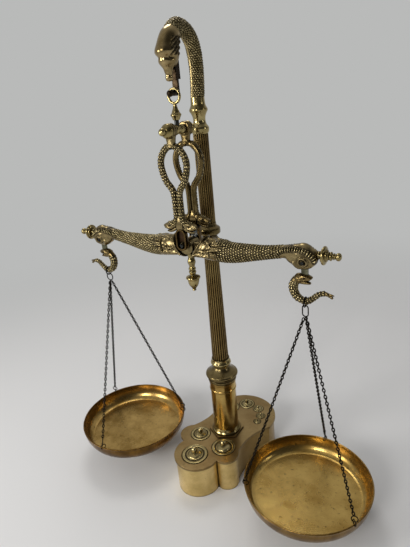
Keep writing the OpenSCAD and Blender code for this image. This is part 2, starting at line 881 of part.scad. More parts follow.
module serpent() {
    swept(smooth(serpent_knots(), 3), 12);
    swept(smooth(serpent_jaw_knots(), 3), 10);
}

// Front plate of the shackle, standing in the plane y = 0
module shackle_plate() {
    difference() {
        union() {
            translate([0, 0, pin_z])
                bar_y(dome_d, serpent_d);
            translate([-strap_w / 2, -strap_t / 2, pin_z - 0.15 * shackle_drop])
                cube([strap_w, strap_t, 0.15 * shackle_drop]);
            serpent();
            left_side()
                serpent();
            translate([0, 0, housing_z])
                stadium(housing_w, housing_h, housing_t);
            translate([-strap_w / 2, -strap_t / 2, housing_top_z - 1.6])
                cube([strap_w, strap_t, pin_z - 0.7 * shackle_drop - housing_top_z + 1.6]);
        }
        translate([0, 0, pin_z])
            bar_y(pin_d + 2 * fit_gap, serpent_d + 2 * over);
        translate([0, 0, housing_z])
            stadium(housing_w - 2 * bearing_rim, housing_h - 2 * bearing_rim, housing_t + 2 * over);
    }
}

// Steel bearing pressed into the inner half of the plate's housing, which stays an open cup
// before it. Its window's floor carries the knife edge.
module bearing_plate() {
    trim = 2 * (bearing_rim + fit_gap);
    translate([0, (housing_t - bearing_t) / 2, 0])
        difference() {
            translate([0, 0, housing_z])
                stadium(housing_w - trim, housing_h - trim, bearing_t);
            translate([0, 0, knife_z + window_r])
                bar_y(2 * window_r, bearing_t + 2 * over);
        }
}

module at_front_plate() {
    hung()
        translate([0, -plate_y, 0])
            children();
}

module at_rear_plate() {
    hung()
        translate([0, plate_y, 0])
            mirror([0, 1, 0])
                children();
}

module front_shackle_plate() {
    color(brass)
        at_front_plate()
            shackle_plate();
}

module rear_shackle_plate() {
    color(brass)
        at_rear_plate()
            shackle_plate();
}

module front_bearing() {
    color(steel)
        at_front_plate()
            bearing_plate();
}

module rear_bearing() {
    color(steel)
        at_rear_plate()
            bearing_plate();
}

pin_end = 4;

module shackle_pin() {
    color(steel)
        hung()
            translate([0, 0, pin_z])
                bar_y(pin_d, 2 * plate_y + serpent_d + 2 * pin_end);
}

// Dome nut standing on the front plate's outer face
module dome_nut() {
    r = dome_d / 2;
    translate([0, -plate_y - serpent_d / 2 - fit_gap, pin_z])
        rotate([90, 0, 0])
            difference() {
                turned(smooth([
                    [r - 0.8, 0], [r, 1.4], [r - 0.5, 3.4], [r - 2.6, 6], [4.6, 7.6], [3.1, 8.4],
                    [3.5, 9], [4.4, 10.2], [4.8, 12], [4.3, 13.9], [2.9, 15.4], [1.2, 16.2]
                ], 2), 0);
                translate([0, 0, -over])
                    cylinder(d = pin_d + 2 * fit_gap, h = pin_end + over + fit_gap);
            }
}

module dome_nuts() {
    color(pale_brass)
        hung() {
            dome_nut();
            mirror([0, 1, 0])
                dome_nut();
        }
}

// Section of the knife edge, its edge down at the pivot
module knife_section(gap) {
    polygon([[0, -gap], [knife_w / 2 + gap, knife_h + gap], [-knife_w / 2 - gap, knife_h + gap]]);
}

module knife_bar(l, gap) {
    translate([0, l / 2, knife_z + run_gap])
        rotate([90, 0, 0])
            linear_extrude(l)
                knife_section(gap);
}

module knife_edge() {
    color(steel)
        hung()
            knife_bar(knife_l, 0);
}

pendant_top_z = knife_z - drum_d / 2;

module beam_centre() {
    color(dark_brass)
        hung()
            difference() {
                union() {
                    translate([0, 0, knife_z])
                        bar_y(drum_d, drum_w);
                    translate([-bar_l / 2, 0, knife_z])
                        rotate([0, 90, 0])
                            cylinder(d = bar_d, h = bar_l);
                }
                knife_bar(drum_w + 2 * over, fit_gap);
                translate([0, 0, pendant_top_z - over])
                    cylinder(d = pendant_pin_d + 2 * fit_gap, h = pendant_pin_l + over);
            }
}

// Stations of the right arm, from the fish's lips to the curled tail
function arm_knots() = let (h = mouth_h / 2, w = mouth_w / 2, e = arm_l) [
    [mouth_x, knife_z - 0.6, h, w],
    [0.11 * e, knife_z - 1.2, h - 1.4, w - 1.4],
    [0.18 * e, knife_z - 2, h - 0.8, w - 0.8],
    [0.27 * e, knife_z - 3.8, h - 1, w - 1.2],
    [0.36 * e, knife_z - 4.6, h - 1.3, w - 2],
    [0.46 * e, knife_z - 3.8, h - 2.6, w - 3],
    [0.57 * e, knife_z - 1.8, h - 4.6, w - 4.2],
    [0.68 * e, knife_z + 0.4, h - 6.4, w - 5.4],
    [0.79 * e, knife_z + 3.2, h - 7.4, w - 6],
    [0.86 * e, knife_z + 4.6, h - 6.6, w - 5.4],
    [0.91 * e, knife_z + 3, h - 2.8, w - 4],
    [0.965 * e, knife_z + 1.4, h + 0.6, w - 3],
    [e + 2, knife_z + 1.4, h + 0.6, w - 3],
    [e + 9, knife_z + 2.2, h - 2.6, w - 4.2],
    [e + 14.4, knife_z + 3.6, h - 8, w - 7],
    [e + 17.6, knife_z + 4.3, h - 12, w - 11]
];

finial_z = knife_z + 4.3;

module arm() {
    difference() {
        swept(smooth(arm_knots(), 3), 20);
        translate([mouth_x - over, 0, knife_z])
            rotate([0, 90, 0])
                cylinder(d1 = mouth_w - 3, d2 = bar_d, h = mouth_depth);
        translate([mouth_x, 0, knife_z - mouth_h / 2])
            rotate([0, mouth_lean, 0])
                translate([-mouth_w, -mouth_w, -mouth_h])
                    cube([mouth_w, 2 * mouth_w, 3 * mouth_h]);
        translate([0, 0, knife_z])
            rotate([0, 90, 0])
                cylinder(d = bar_d + 2 * fit_gap, h = bar_l / 2 + fit_gap);
        translate([arm_l, 0, pivot_z])
            bar_y(end_pin_d + 2 * fit_gap, mouth_w);
        translate([arm_l, 0, pivot_z])
            bar_y(link_w + 4, link_t + 2 * slot_gap);
        translate([arm_l - link_w / 2 - 2, -link_t / 2 - slot_gap, pivot_z - mouth_h])
            cube([link_w + 4, link_t + 2 * slot_gap, mouth_h]);
        for (s = [-1, 1])
            translate([arm_l, s * (mouth_w / 2 - 3), pivot_z])
                rotate([90 * s, 0, 0])
                    cylinder(d1 = 2.4 * end_pin_d, d2 = end_pin_d, h = 2.4);
        translate([finial_x - finial_pin_l, 0, finial_z])
            rotate([0, 90, 0])
                cylinder(d = finial_pin_d + 2 * fit_gap, h = finial_pin_l + over);
        translate([finial_x, -mouth_w, knife_z - mouth_h])
            cube([mouth_w, 2 * mouth_w, 2 * mouth_h]);
    }
}

module right_arm() {
    color(brass)
        hung()
            arm();
}

module left_arm() {
    color(brass)
        hung()
            left_side()
                arm();
}

module end_pins() {
    color(steel)
        hung()
            for (s = [-1, 1])
                translate([s * arm_l, 0, pivot_z])
                    bar_y(end_pin_d, mouth_w - 8);
}

module finial() {
    r = finial_d / 2;
    l = finial_l;
    translate([finial_x, 0, finial_z])
        rotate([0, 90, 0]) {
            turned(smooth([
                [3.6, 0], [4.8, 0.03 * l], [4.8, 0.08 * l], [3.4, 0.12 * l], [4.4, 0.155 * l],
                [8, 0.215 * l], [r, 0.275 * l], [r, 0.3 * l], [8.4, 0.355 * l], [4.8, 0.42 * l],
                [3, 0.46 * l], [2.9, 0.49 * l], [4.5, 0.53 * l], [4.5, 0.57 * l], [2.9, 0.61 * l],
                [2.9, 0.65 * l], [3.8, 0.7 * l], [4.8, 0.76 * l], [5.1, 0.84 * l], [4.5, 0.93 * l],
                [2.2, 0.99 * l], [0.6, l]
            ], 2), 0);
            translate([0, 0, -finial_pin_l])
                cylinder(d = finial_pin_d, h = finial_pin_l);
        }
}

module right_finial() {
    color(pale_brass)
        hung()
            finial();
}

module left_finial() {
    color(pale_brass)
        hung()
            left_side()
                finial();
}

module pendant() {
    r = acorn_d / 2;
    l = pendant_l;
    color(pale_brass)
        hung()
            translate([0, 0, pendant_top_z - 0.4]) {
                mirror([0, 0, 1])
                    turned(smooth([
                        [5.2, 0], [5.2, 0.06 * l], [4.2, 0.12 * l], [5.6, 0.2 * l], [5.8, 0.25 * l],
                        [4.6, 0.31 * l], [4, 0.36 * l], [5.2, 0.4 * l], [5.2, 0.425 * l], [4.2, 0.45 * l],
                        [5.2, 0.475 * l], [5.3, 0.51 * l], [4.2, 0.55 * l], [4.6, 0.58 * l],
                        [r - 1, 0.615 * l], [r, 0.635 * l], [r, 0.66 * l], [r - 1.4, 0.69 * l],
                        [r - 2.2, 0.75 * l], [6.6, 0.84 * l], [3.2, 0.925 * l], [2.4, 0.945 * l],
                        [3, 0.97 * l], [2.2, 0.99 * l], [0.8, l]
                    ], 2), 0);
                cylinder(d = pendant_pin_d, h = pendant_pin_l);
            }
}

// Steel link that hangs on the end pin and carries the hook
link_low_z = pivot_z - 22;

module hanging_link(gap) {
    difference() {
        union() {
            translate([arm_l, 0, pivot_z])
                bar_y(link_w, link_t + 2 * gap);
            translate([arm_l - link_w / 2 - gap, -link_t / 2 - gap, link_low_z - gap])
                cube([link_w + 2 * gap, link_t + 2 * gap, pivot_z - link_low_z + gap]);
        }
        translate([arm_l, 0, pivot_z])
            bar_y(end_pin_d + 2 * run_gap, link_t + 2 * over);
    }
}

module right_link() {
    color(steel)
        hung()
            hanging_link(0);
}

module left_link() {
    color(steel)
        hung()
            left_side()
                hanging_link(0);
}

// Stations of the serpent hook's body, from the neck to the tail's tip
function hook_knots() = let (h = hook_d / 2, d = hook_drop) [
    [arm_l - 3, pivot_z - 0.42 * d, h, h],
    [arm_l - 9.5, pivot_z - 0.45 * d, h + 1.2, h + 1],
    [arm_l - 14.2, pivot_z - 0.57 * d, h + 1.7, h + 1.4],
    [arm_l - 15.2, pivot_z - 0.74 * d, h + 1.6, h + 1.2],
    [arm_l - 10.6, pivot_z - 0.91 * d, h + 1, h + 0.6],
    [arm_l - 3, pivot_z - 0.99 * d, h, h],
    [arm_l + 2.6, hook_low_z, h, h],
    [arm_l + 10.5, pivot_z - 0.9 * d, h - 0.6, h - 0.6],
    [arm_l + 17, pivot_z - 0.79 * d, h - 0.9, h - 0.9],
    [arm_l + 23, pivot_z - 0.745 * d, h - 1, h - 1],
    [arm_l + 29, pivot_z - 0.76 * d, h - 1.5, h - 1.4],
    [arm_l + 35, pivot_z - 0.79 * d, h - 2.6, h - 2.4]
];

// Stations of the serpent's upper head
function snout_knots() = let (d = hook_drop) [
    [arm_l - 13, pivot_z - 0.45 * d, 3, 4],
    [arm_l - 9, pivot_z - 0.43 * d, 6, 5.6],
    [arm_l - 3, pivot_z - 0.41 * d, 5.6, 6.2],
    [arm_l + 3, pivot_z - 0.4 * d, 4.2, 5.2],
    [arm_l + 7.6, pivot_z - 0.405 * d, 2.6, 4],
    [arm_l + 9, pivot_z - 0.42 * d, 1.2, 2.6]
];

// Stations of the serpent's lower jaw
function hook_jaw_knots() = let (d = hook_drop) [
    [arm_l - 9, pivot_z - 0.5 * d, 3.4, 4.6],
    [arm_l - 2, pivot_z - 0.52 * d, 2.8, 4.2],
    [arm_l + 4, pivot_z - 0.53 * d, 2, 3.2],
    [arm_l + 7.4, pivot_z - 0.54 * d, 1.2, 2.2]
];

module serpent_hook() {
    difference() {
        union() {
            swept(smooth(hook_knots(), 3), 14);
            swept(smooth(snout_knots(), 3), 14);
            swept(smooth(hook_jaw_knots(), 3), 12);
        }
        hanging_link(fit_gap);
    }
}

module right_hook() {
    color(dark_brass)
        hung()
            serpent_hook();
}

module left_hook() {
    color(dark_brass)
        hung()
            left_side()
                serpent_hook();
}

// Ring that hangs on a hook, in the YZ plane
module upper_ring() {
    translate([arm_l, 0, upper_ring_z])
        rotate([0, 0, 90])
            wire_ring(ring_r, ring_wire);
}

module right_upper_ring() {
    color(steel)
        hung()
            upper_ring();
}

module left_upper_ring() {
    color(steel)
        hung()
            left_side()
                upper_ring();
}

module left_lower_ring() {
    color(steel)
        hung()
            translate([-arm_l, 0, left_ring_z])
                wire_ring((lower_ring_d + ring_wire) / 2, ring_wire);
}

module right_oval_link() {
    r = (oval_w + ring_wire) / 2;
    s = (oval_h - oval_w) / 2;
    color(steel)
        hung()
            translate([arm_l, 0, oval_z]) {
                intersection() {
                    translate([0, 0, s])
                        wire_ring(r, ring_wire);
                    translate([-oval_h, -ring_wire, s])
                        cube([2 * oval_h, 2 * ring_wire, oval_h]);
                }
                intersection() {
                    translate([0, 0, -s])
                        wire_ring(r, ring_wire);
                    translate([-oval_h, -ring_wire, -s - oval_h])
                        cube([2 * oval_h, 2 * ring_wire, oval_h]);
                }
                for (k = [-1, 1])
                    translate([k * r, 0, -s])
                        cylinder(d = ring_wire, h = 2 * s);
            }
}

// Three taut chains, each drawn as a rod of the chain's outer size
module chains(turn, top_z) {
    for (k = [0 : 2])
        rotate([0, 0, turn + 120 * k]) {
            run = loop_r - chain_start;
            drop = top_z - chain_end_z;
            translate([chain_start, 0, top_z])
                rotate([0, 180 - atan(run / drop), 0])
                    cylinder(d = chain_d, h = norm([run, drop]));
        }
}

module pan_loops(turn) {
    for (k = [0 : 2])
        rotate([0, 0, turn + 120 * k])
            translate([loop_r, 0, loop_z])
                wire_ring(loop_d / 2, loop_wire);
}

// Spun pan: flat floor, curved wall and a rolled rim
module pan(turn) {
    steps = 10;
    floor_r = pan_r - rim_d / 2 - pan_wall_w;
    low = rim_z - pan_depth;
    wall_h = pan_depth - rim_d / 2;
    difference() {
        union() {
            rotate_extrude()
                polygon(concat(
                    [[0, low]],
                    [for (k = [0 : steps]) let (a = 90 * k / steps)
                        [floor_r + (pan_wall_w + pan_t / 2) * sin(a), low + wall_h * (1 - cos(a))]],
                    [for (k = [steps : -1 : 0]) let (a = 90 * k / steps, h = (wall_h - pan_t) * (1 - cos(a)))
                        [floor_r + (pan_wall_w - pan_t / 2) * sin(a), low + pan_t + h]],
                    [[0, low + pan_t]]
                ));
            translate([0, 0, rim_z - rim_d / 2])
                rotate_extrude()
                    translate([pan_r - rim_d / 2, 0])
                        circle(d = rim_d);
        }
        for (k = [0 : 2])
            rotate([0, 0, turn + 120 * k])
                translate([pan_r / 2, 0, rim_hole_z])
                    rotate([0, 90, 0])
                        cylinder(d = rim_hole_d, h = pan_r);
    }
}

module at_left_end() {
    hung()
        translate([-arm_l, 0, 0])
            children();
}

module at_right_end() {
    hung()
        translate([arm_l, 0, 0])
            children();
}

module left_chains() {
    color(steel)
        at_left_end()
            chains(left_turn, left_chain_z);
}

module right_chains() {
    color(steel)
        at_right_end()
            chains(right_turn, right_chain_z);
}

module left_pan_loops() {
    color(steel)
        at_left_end()
            pan_loops(left_turn);
}

module right_pan_loops() {
    color(steel)
        at_right_end()
            pan_loops(right_turn);
}

module left_pan() {
    color(brass)
        at_left_end()
            pan(left_turn);
}

module right_pan() {
    color(brass)
        at_right_end()
            pan(right_turn);
}

base_casing();
base_plate();
plate_screws();
tie_rod();
rod_washer();
rod_nut();
column_flange();
pedestal_foot();
pedestal_barrel();
pedestal_band();
pedestal_cap();
shaft_ring();
lower_shaft();
knop();
upper_shaft();
top_collar();
gooseneck();
bird_head();
lower_jaw();
beak_hook();
suspension_eye();
swivel_cap();
swivel_stem();
swivel_barrel();
front_shackle_plate();
rear_shackle_plate();
shackle_pin();
dome_nuts();
front_bearing();
rear_bearing();
beam_centre();
left_arm();
right_arm();
knife_edge();
end_pins();
left_finial();
right_finial();
pendant();
left_link();
left_hook();
right_link();
right_hook();
left_upper_ring();
left_lower_ring();
right_upper_ring();
right_oval_link();
left_chains();
right_chains();
left_pan_loops();
right_pan_loops();
left_pan();
right_pan();
weight(0);  // weight_1
weight(1);  // weight_2
weight(2);  // weight_3
weight(3);  // weight_4
weight(4);  // weight_5
weight(5);  // weight_6
weight(6);  // weight_7
weight(7);  // weight_8
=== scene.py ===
import math

import bmesh
import bpy
import numpy as np
from mathutils import Matrix, Vector


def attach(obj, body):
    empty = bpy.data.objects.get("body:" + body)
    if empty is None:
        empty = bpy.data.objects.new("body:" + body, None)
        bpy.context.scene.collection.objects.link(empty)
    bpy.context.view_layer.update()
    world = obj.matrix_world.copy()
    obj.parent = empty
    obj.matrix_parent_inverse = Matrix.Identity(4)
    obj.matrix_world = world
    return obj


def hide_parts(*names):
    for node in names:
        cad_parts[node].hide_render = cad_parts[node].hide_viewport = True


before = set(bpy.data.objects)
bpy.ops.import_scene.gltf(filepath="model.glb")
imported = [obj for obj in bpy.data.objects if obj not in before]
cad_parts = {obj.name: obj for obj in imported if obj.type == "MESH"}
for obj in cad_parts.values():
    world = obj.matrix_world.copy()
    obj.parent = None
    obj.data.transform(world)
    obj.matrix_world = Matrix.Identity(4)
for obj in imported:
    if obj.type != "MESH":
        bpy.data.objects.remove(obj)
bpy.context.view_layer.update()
print("frame loaded:", len(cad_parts), "nodes")

mm = 0.001
beamY = -53.0  # the plane that the beam and pans hang in, in mm before the column
black, white = (0, 0, 0, 1), (1, 1, 1, 1)


# Small helpers

def linear(hexCode):
    channels = [int(hexCode[i:i + 2], 16) / 255 for i in (1, 3, 5)]
    return tuple(c / 12.92 if c <= 0.04045 else ((c + 0.055) / 1.055) ** 2.4 for c in channels) + (1.0,)


# Adds rows of (label, kind, settings) to a node tree. A setting in lower case is the node's own, the
# others are its input sockets. A value "@label.Socket" is a link from a node in an earlier row.
def growTree(tree, rows):
    made = {}
    for label, kind, settings in rows:
        node = made[label] = tree.nodes.new(kind)
        own = [key for key in settings if str(key)[0].islower()]
        for key in own:
            if key == "ramp":
                for element, (place, colour) in zip(node.color_ramp.elements, settings[key]):
                    element.position, element.color = place, colour
            else:
                setattr(node, key, settings[key])
        for key in [key for key in settings if key not in own]:
            value = settings[key]
            if str(value)[0] == "@":
                source, dot, socket = value[1:].partition(".")
                tree.links.new(made[source].outputs[socket or 0], node.inputs[key])
            else:
                node.inputs[key].default_value = value


def emptyTree(block):
    block.use_nodes = True
    block.node_tree.nodes.clear()
    return block.node_tree


# Materials

spinMarks = {"scale": 110.0, "depth": 0.8}


# Cast, turned or spun brass. Polish wears the raised places bright; the hollows that ambient occlusion finds turn
# darker and rougher, partly tarnish and partly painted shade.
def brassMaterial(name, look):
    rows = [
        ("place", "ShaderNodeTexCoord", {}),
        ("cloud", "ShaderNodeTexNoise",
         {"Scale": look["cloudScale"], "Detail": 6.0, "Roughness": 0.62, "Vector": "@place.Object"}),
        ("tone", "ShaderNodeValToRGB",
         {"Fac": "@cloud.Fac", "ramp": [(look["cloudFrom"], linear(look["bright"])),
                                        (look["cloudTo"], linear(look["dull"]))]}),
        ("speck", "ShaderNodeTexNoise",
         {"Scale": look["speckScale"], "Detail": 3.0, "Roughness": 0.7, "Vector": "@place.Object"}),
        ("grain", "ShaderNodeValToRGB",
         {"Fac": "@speck.Fac", "ramp": [(look["speckFrom"], black), (look["speckFrom"] + 0.07, white)]}),
        ("amount", "ShaderNodeMath", {"operation": "MULTIPLY", 0: "@grain.Color", 1: look["speckAmount"]}),
        ("spotted", "ShaderNodeMix",
         {"data_type": "RGBA", "Factor": "@amount", "A": "@tone.Color", "B": linear(look["spot"])}),
        # painted shade: ambient occlusion darkens the colour in hollows, on top of their tarnish
        ("hollow", "ShaderNodeAmbientOcclusion", {"samples": 8, "Distance": look["hollowReach"]}),
        ("depth", "ShaderNodeValToRGB",
         {"Fac": "@hollow.AO", "ramp": [(look["hollowFrom"], white), (look["hollowTo"], black)]}),
        ("sheen", "ShaderNodeMapRange",
         {"Value": "@cloud.Fac", "From Min": 0.3, "From Max": 0.75, "To Min": look["smooth"],
          "To Max": look["rough"]}),
        ("worn", "ShaderNodeMath",
         {"operation": "MULTIPLY_ADD", 0: "@depth.Color", 1: look["hollowRough"], 2: "@sheen.Result"}),
        ("edge", "ShaderNodeBevel", {"samples": 4, "Radius": look.get("edge", 0.4) * mm})]
    base, relief = "@spotted.Result", "@speck.Fac"
    if "shadedBackBrown" in look:  # painted shade: the casing turns brown towards its back
        low, high, share, brown = look["shadedBackBrown"]
        rows += [
            ("split", "ShaderNodeSeparateXYZ", {0: "@place.Object"}),
            ("share", "ShaderNodeMapRange",
             {"interpolation_type": "SMOOTHSTEP", "From Min": low * mm, "From Max": high * mm, "To Max": share,
              "Value": "@split.Y"}),
            ("browned", "ShaderNodeMix",
             {"data_type": "RGBA", "Factor": "@share.Result", "A": base, "B": linear(brown)})]
        base = "@browned.Result"
    if "turned" in look:  # rings that the spinning tool left round an axis
        rows += [
            ("centre", "ShaderNodeMapping",
             {"Location": tuple(-c * mm for c in look["turned"]), "Vector": "@place.Object"}),
            ("rings", "ShaderNodeTexWave",
             {"wave_type": "RINGS", "rings_direction": "Z", "Scale": spinMarks["scale"], "Distortion": 0.6,
              "Detail": 2.0, "Detail Scale": 2.0, "Vector": "@centre.Vector"}),
            ("both", "ShaderNodeMath",
             {"operation": "MULTIPLY_ADD", 0: "@rings.Fac", 1: spinMarks["depth"], 2: relief})]
        relief = "@both"
    rows += [
        ("colour", "ShaderNodeMix",
         {"data_type": "RGBA", "Factor": "@depth.Color", "A": base, "B": linear(look["creviceTarnishAndShade"])}),
        ("bump", "ShaderNodeBump",
         {"Strength": look["bump"], "Distance": 0.0002, "Height": relief, "Normal": "@edge.Normal"}),
        ("skin", "ShaderNodeBsdfPrincipled",
         {"Metallic": 1.0, "Base Color": "@colour.Result", "Roughness": "@worn", "Normal": "@bump.Normal"}),
        ("end", "ShaderNodeOutputMaterial", {"Surface": "@skin.BSDF"})]
    material = bpy.data.materials.new(name)
    growTree(emptyTree(material), rows)
    return material


# Colours are bright, dull, spot and crevice; the crevice colour is partly tarnish and partly painted shade
lookKeys = ["bright", "dull", "spot", "creviceTarnishAndShade", "cloudScale", "cloudFrom", "cloudTo", "speckScale", "speckFrom",
            "speckAmount", "hollowReach", "hollowFrom", "hollowTo", "smooth", "rough", "hollowRough", "bump"]
brassLooks = {
    # Cast brass casing, rubbed by hands: olive yellow with a soft, wide shine
    "satinCasingBrass": ("#edd395 #bda261 #6b5733 #3a2c16",
        22, 0.35, 0.7, 420, 0.62, 0.35, 0.004, 0.35, 0.85, 0.26, 0.42, 0.2, 0.3),
    # Rolled brass plate left to tarnish: a flat pinkish brown, duller than the casing
    "tarnishedPlateBrass": ("#9b8459 #7c6540 #5a452a #2e2212",
        26, 0.35, 0.68, 380, 0.6, 0.45, 0.004, 0.35, 0.9, 0.26, 0.44, 0.2, 0.35),
    # Turned brass discs, handled for years: bright knobs, brown rings
    "handledWeightBrass": ("#c2b07e #7c6c41 #45371f #171008",
        60, 0.35, 0.72, 600, 0.62, 0.3, 0.005, 0.45, 0.95, 0.15, 0.34, 0.25, 0.25),
    # Turned brass tube under old lacquer: deep amber with hard bright streaks
    "lacqueredColumnBrass": ("#d3b369 #846736 #3a2408 #1d1206",
        30, 0.32, 0.7, 500, 0.6, 0.3, 0.006, 0.35, 0.92, 0.12, 0.3, 0.3, 0.2),
    # Turned brass mouldings, polished on their ridges: olive yellow, brown in the steps
    "turnedMouldingBrass": ("#c6b47e #86754a #3d2f17 #150f06",
        40, 0.34, 0.7, 550, 0.6, 0.3, 0.006, 0.4, 0.95, 0.1, 0.28, 0.3, 0.2),
    # Drawn reeded tube, brown in the flutes: dull stripes of bronze and dark umber
    "reededShaftBrass": ("#9c8553 #6c5430 #33240e #0f0a03",
        18, 0.35, 0.68, 500, 0.58, 0.35, 0.003, 0.72, 0.99, 0.2, 0.36, 0.25, 0.3),
    # Sand-cast and chased brass: greenish grey in the hollows, rubbed yellow on its ridges
    "castFigureBrass": ("#9a8961 #63563a #453b27 #120e08",
        90, 0.35, 0.7, 900, 0.58, 0.45, 0.004, 0.5, 0.97, 0.16, 0.36, 0.3, 0.45),
    # The tops of cast scales, rubbed by polishing cloths: pale olive brass with small hard glints
    "rubbedScaleBrass": ("#ad9d73 #70643f #4a4029 #0f0c06",
        130, 0.36, 0.66, 900, 0.6, 0.35, 0.003, 0.5, 0.97, 0.14, 0.32, 0.3, 0.3),
    # The ground between cast scales, where polish and dirt stay and shade falls: nearly black brown, dull, partly
    # tarnish and partly painted shade
    "tarnishedShadedGroundBrass": ("#574d38 #332c1e #171209 #0a0805",
        120, 0.35, 0.7, 800, 0.58, 0.4, 0.003, 0.4, 0.95, 0.34, 0.55, 0.2, 0.4),
    # Cast brass on the belly of the neck, pale along its edge: partly polish and partly a painted highlight
    "polishedHighlightNeckBrass": ("#cdb783 #8d7a4e #4a3a20 #120d06",
        70, 0.35, 0.7, 900, 0.58, 0.4, 0.003, 0.45, 0.96, 0.16, 0.34, 0.3, 0.4),
    # Cast brass of the bird's head, smooth and rubbed by dusting: olive crown, dark eye hollows
    "castHeadBrass": ("#b09b70 #786641 #453720 #0f0b05",
        60, 0.35, 0.7, 700, 0.6, 0.4, 0.004, 0.5, 0.97, 0.1, 0.26, 0.3, 0.25),
    # Cast brass of the hooks, darker than the fish: brown green with bright edges
    "castHookBrass": ("#88754e #544626 #3a2d16 #0f0b05",
        80, 0.35, 0.7, 900, 0.58, 0.4, 0.0035, 0.5, 0.97, 0.16, 0.36, 0.3, 0.4),
    # Small turned brass, polished by hand: pale yellow with crisp highlights and dark steps
    "polishedFinialBrass": ("#ab9a6a #76673c #3f3117 #130d05",
        80, 0.38, 0.75, 700, 0.64, 0.3, 0.005, 0.45, 0.96, 0.08, 0.24, 0.3, 0.2),
    # Turned brass let go brown, on the column's cap and knop: olive with dark steps
    "brownedMouldingBrass": ("#907e55 #584b2d #352813 #120c05",
        40, 0.34, 0.7, 550, 0.6, 0.35, 0.006, 0.5, 0.97, 0.12, 0.32, 0.3, 0.25),
    # The cup round the front bearing: dark golden brown, painted shade of its dark inside
    "shadedCupBrass": ("#705b38 #40311a #20170a #0d0904",
        90, 0.35, 0.7, 800, 0.58, 0.4, 0.004, 0.5, 0.97, 0.16, 0.36, 0.3, 0.4),
    # The grooves between the reeds: dull dark umber
    "umberFluteBrass": ("#3f301a #20170b #120c05 #0a0703",
        40, 0.35, 0.7, 600, 0.58, 0.4, 0.002, 0.3, 0.9, 0.36, 0.56, 0.2, 0.3),
    # The outside of the left pan, never polished: deep orange brown. On most of the rolled rim it is a painted
    # shadow line.
    "brownedLeftPanBrass": ("#84622d #553c18 #2f1f0b #241706",
        34, 0.36, 0.66, 240, 0.6, 0.5, 0.003, 0.3, 0.85, 0.2, 0.38, 0.15, 0.3),
    # The outside of the right pan, a shade paler, and on the rolled rim a painted shadow line too
    "brownedRightPanBrass": ("#9c7c43 #6c5129 #35240e #2a1b09",
        30, 0.36, 0.66, 220, 0.6, 0.5, 0.003, 0.3, 0.85, 0.2, 0.36, 0.15, 0.3),
    # Spun sheet brass, the left pan: brown floor with dark spots, and rings from the spinning
    "spunLeftPanBrass": ("#c7a564 #8a6d37 #3a2811 #3b2a12",
        30, 0.36, 0.66, 230, 0.61, 0.85, 0.002, 0.2, 0.7, 0.19, 0.34, 0.15, 0.3),
    # The right pan, a little yellower and cleaner than the left
    "spunRightPanBrass": ("#c3a460 #95773d #3a2811 #3b2a12",
        26, 0.36, 0.66, 210, 0.62, 0.9, 0.002, 0.2, 0.7, 0.19, 0.34, 0.15, 0.3),
    # Iron and steel blackened by heat and oil: near black with a soft grey shine
    "blackenedSteel": ("#382d20 #1e1810 #4a3020 #0c0b0a",
        120, 0.35, 0.7, 800, 0.6, 0.3, 0.003, 0.3, 0.9, 0.3, 0.5, 0.2, 0.4),
    # Hardened steel darkened by age: dark grey, slick
    "agedSpindleSteel": ("#4a4c4a #222423 #15181b #08090a",
        110, 0.35, 0.68, 700, 0.6, 0.3, 0.003, 0.3, 0.9, 0.18, 0.36, 0.25, 0.3),
    # Hardened steel of the front bearing: nearly black with a warm cast, painted shade of its cup
    "shadedBearingSteel": ("#4b3a2a #281c12 #6a4526 #0d0906",
        140, 0.35, 0.7, 700, 0.6, 0.3, 0.003, 0.3, 0.9, 0.26, 0.45, 0.2, 0.4),
    # Hardened steel of the rear bearing, ground bright once and mottled blue grey since
    "mottledBearingSteel": ("#8b8f90 #3c4042 #1f1c18 #0e0d0c",
        180, 0.36, 0.62, 600, 0.58, 0.5, 0.003, 0.3, 0.9, 0.26, 0.45, 0.2, 0.4),
    # Flat steel links between beam and hooks: grey green, half bright
    "greyLinkSteel": ("#7f7e66 #4b4a3a #33291a #14110c",
        160, 0.36, 0.64, 700, 0.58, 0.45, 0.003, 0.3, 0.9, 0.22, 0.42, 0.2, 0.4),
    # The ground between the neck's pebbles: brown, half dull
    "brownedNeckGroundBrass": ("#6f6042 #483c26 #211a0d #0f0b06",
        120, 0.35, 0.7, 800, 0.58, 0.4, 0.003, 0.4, 0.95, 0.28, 0.48, 0.2, 0.4),
    # Brass chain wire, oxidised almost black, with small worn glints
    "oxidisedChainWire": ("#2e2921 #15120e #100e0a #080706",
        260, 0.3, 0.62, 900, 0.6, 0.3, 0.0015, 0.3, 0.9, 0.28, 0.46, 0.25, 0.3),
}
lookExtras = {
    # The casing's browning towards its back is painted shade
    "satinCasingBrass": {"edge": 1.2, "shadedBackBrown": (-52, -20, 0.75, "#80602a")},
    "tarnishedPlateBrass": {"edge": 0.7}, "reededShaftBrass": {"edge": 0.2},
    "spunLeftPanBrass": {"turned": (-168, beamY, 0)}, "spunRightPanBrass": {"turned": (168, beamY, 0)}}
finishes = {}
for name, (colours, *numbers) in brassLooks.items():
    look = dict(zip(lookKeys, colours.split() + numbers), **lookExtras.get(name, {}))
    finishes[name] = brassMaterial(name, look)
print("materials:", len(finishes))

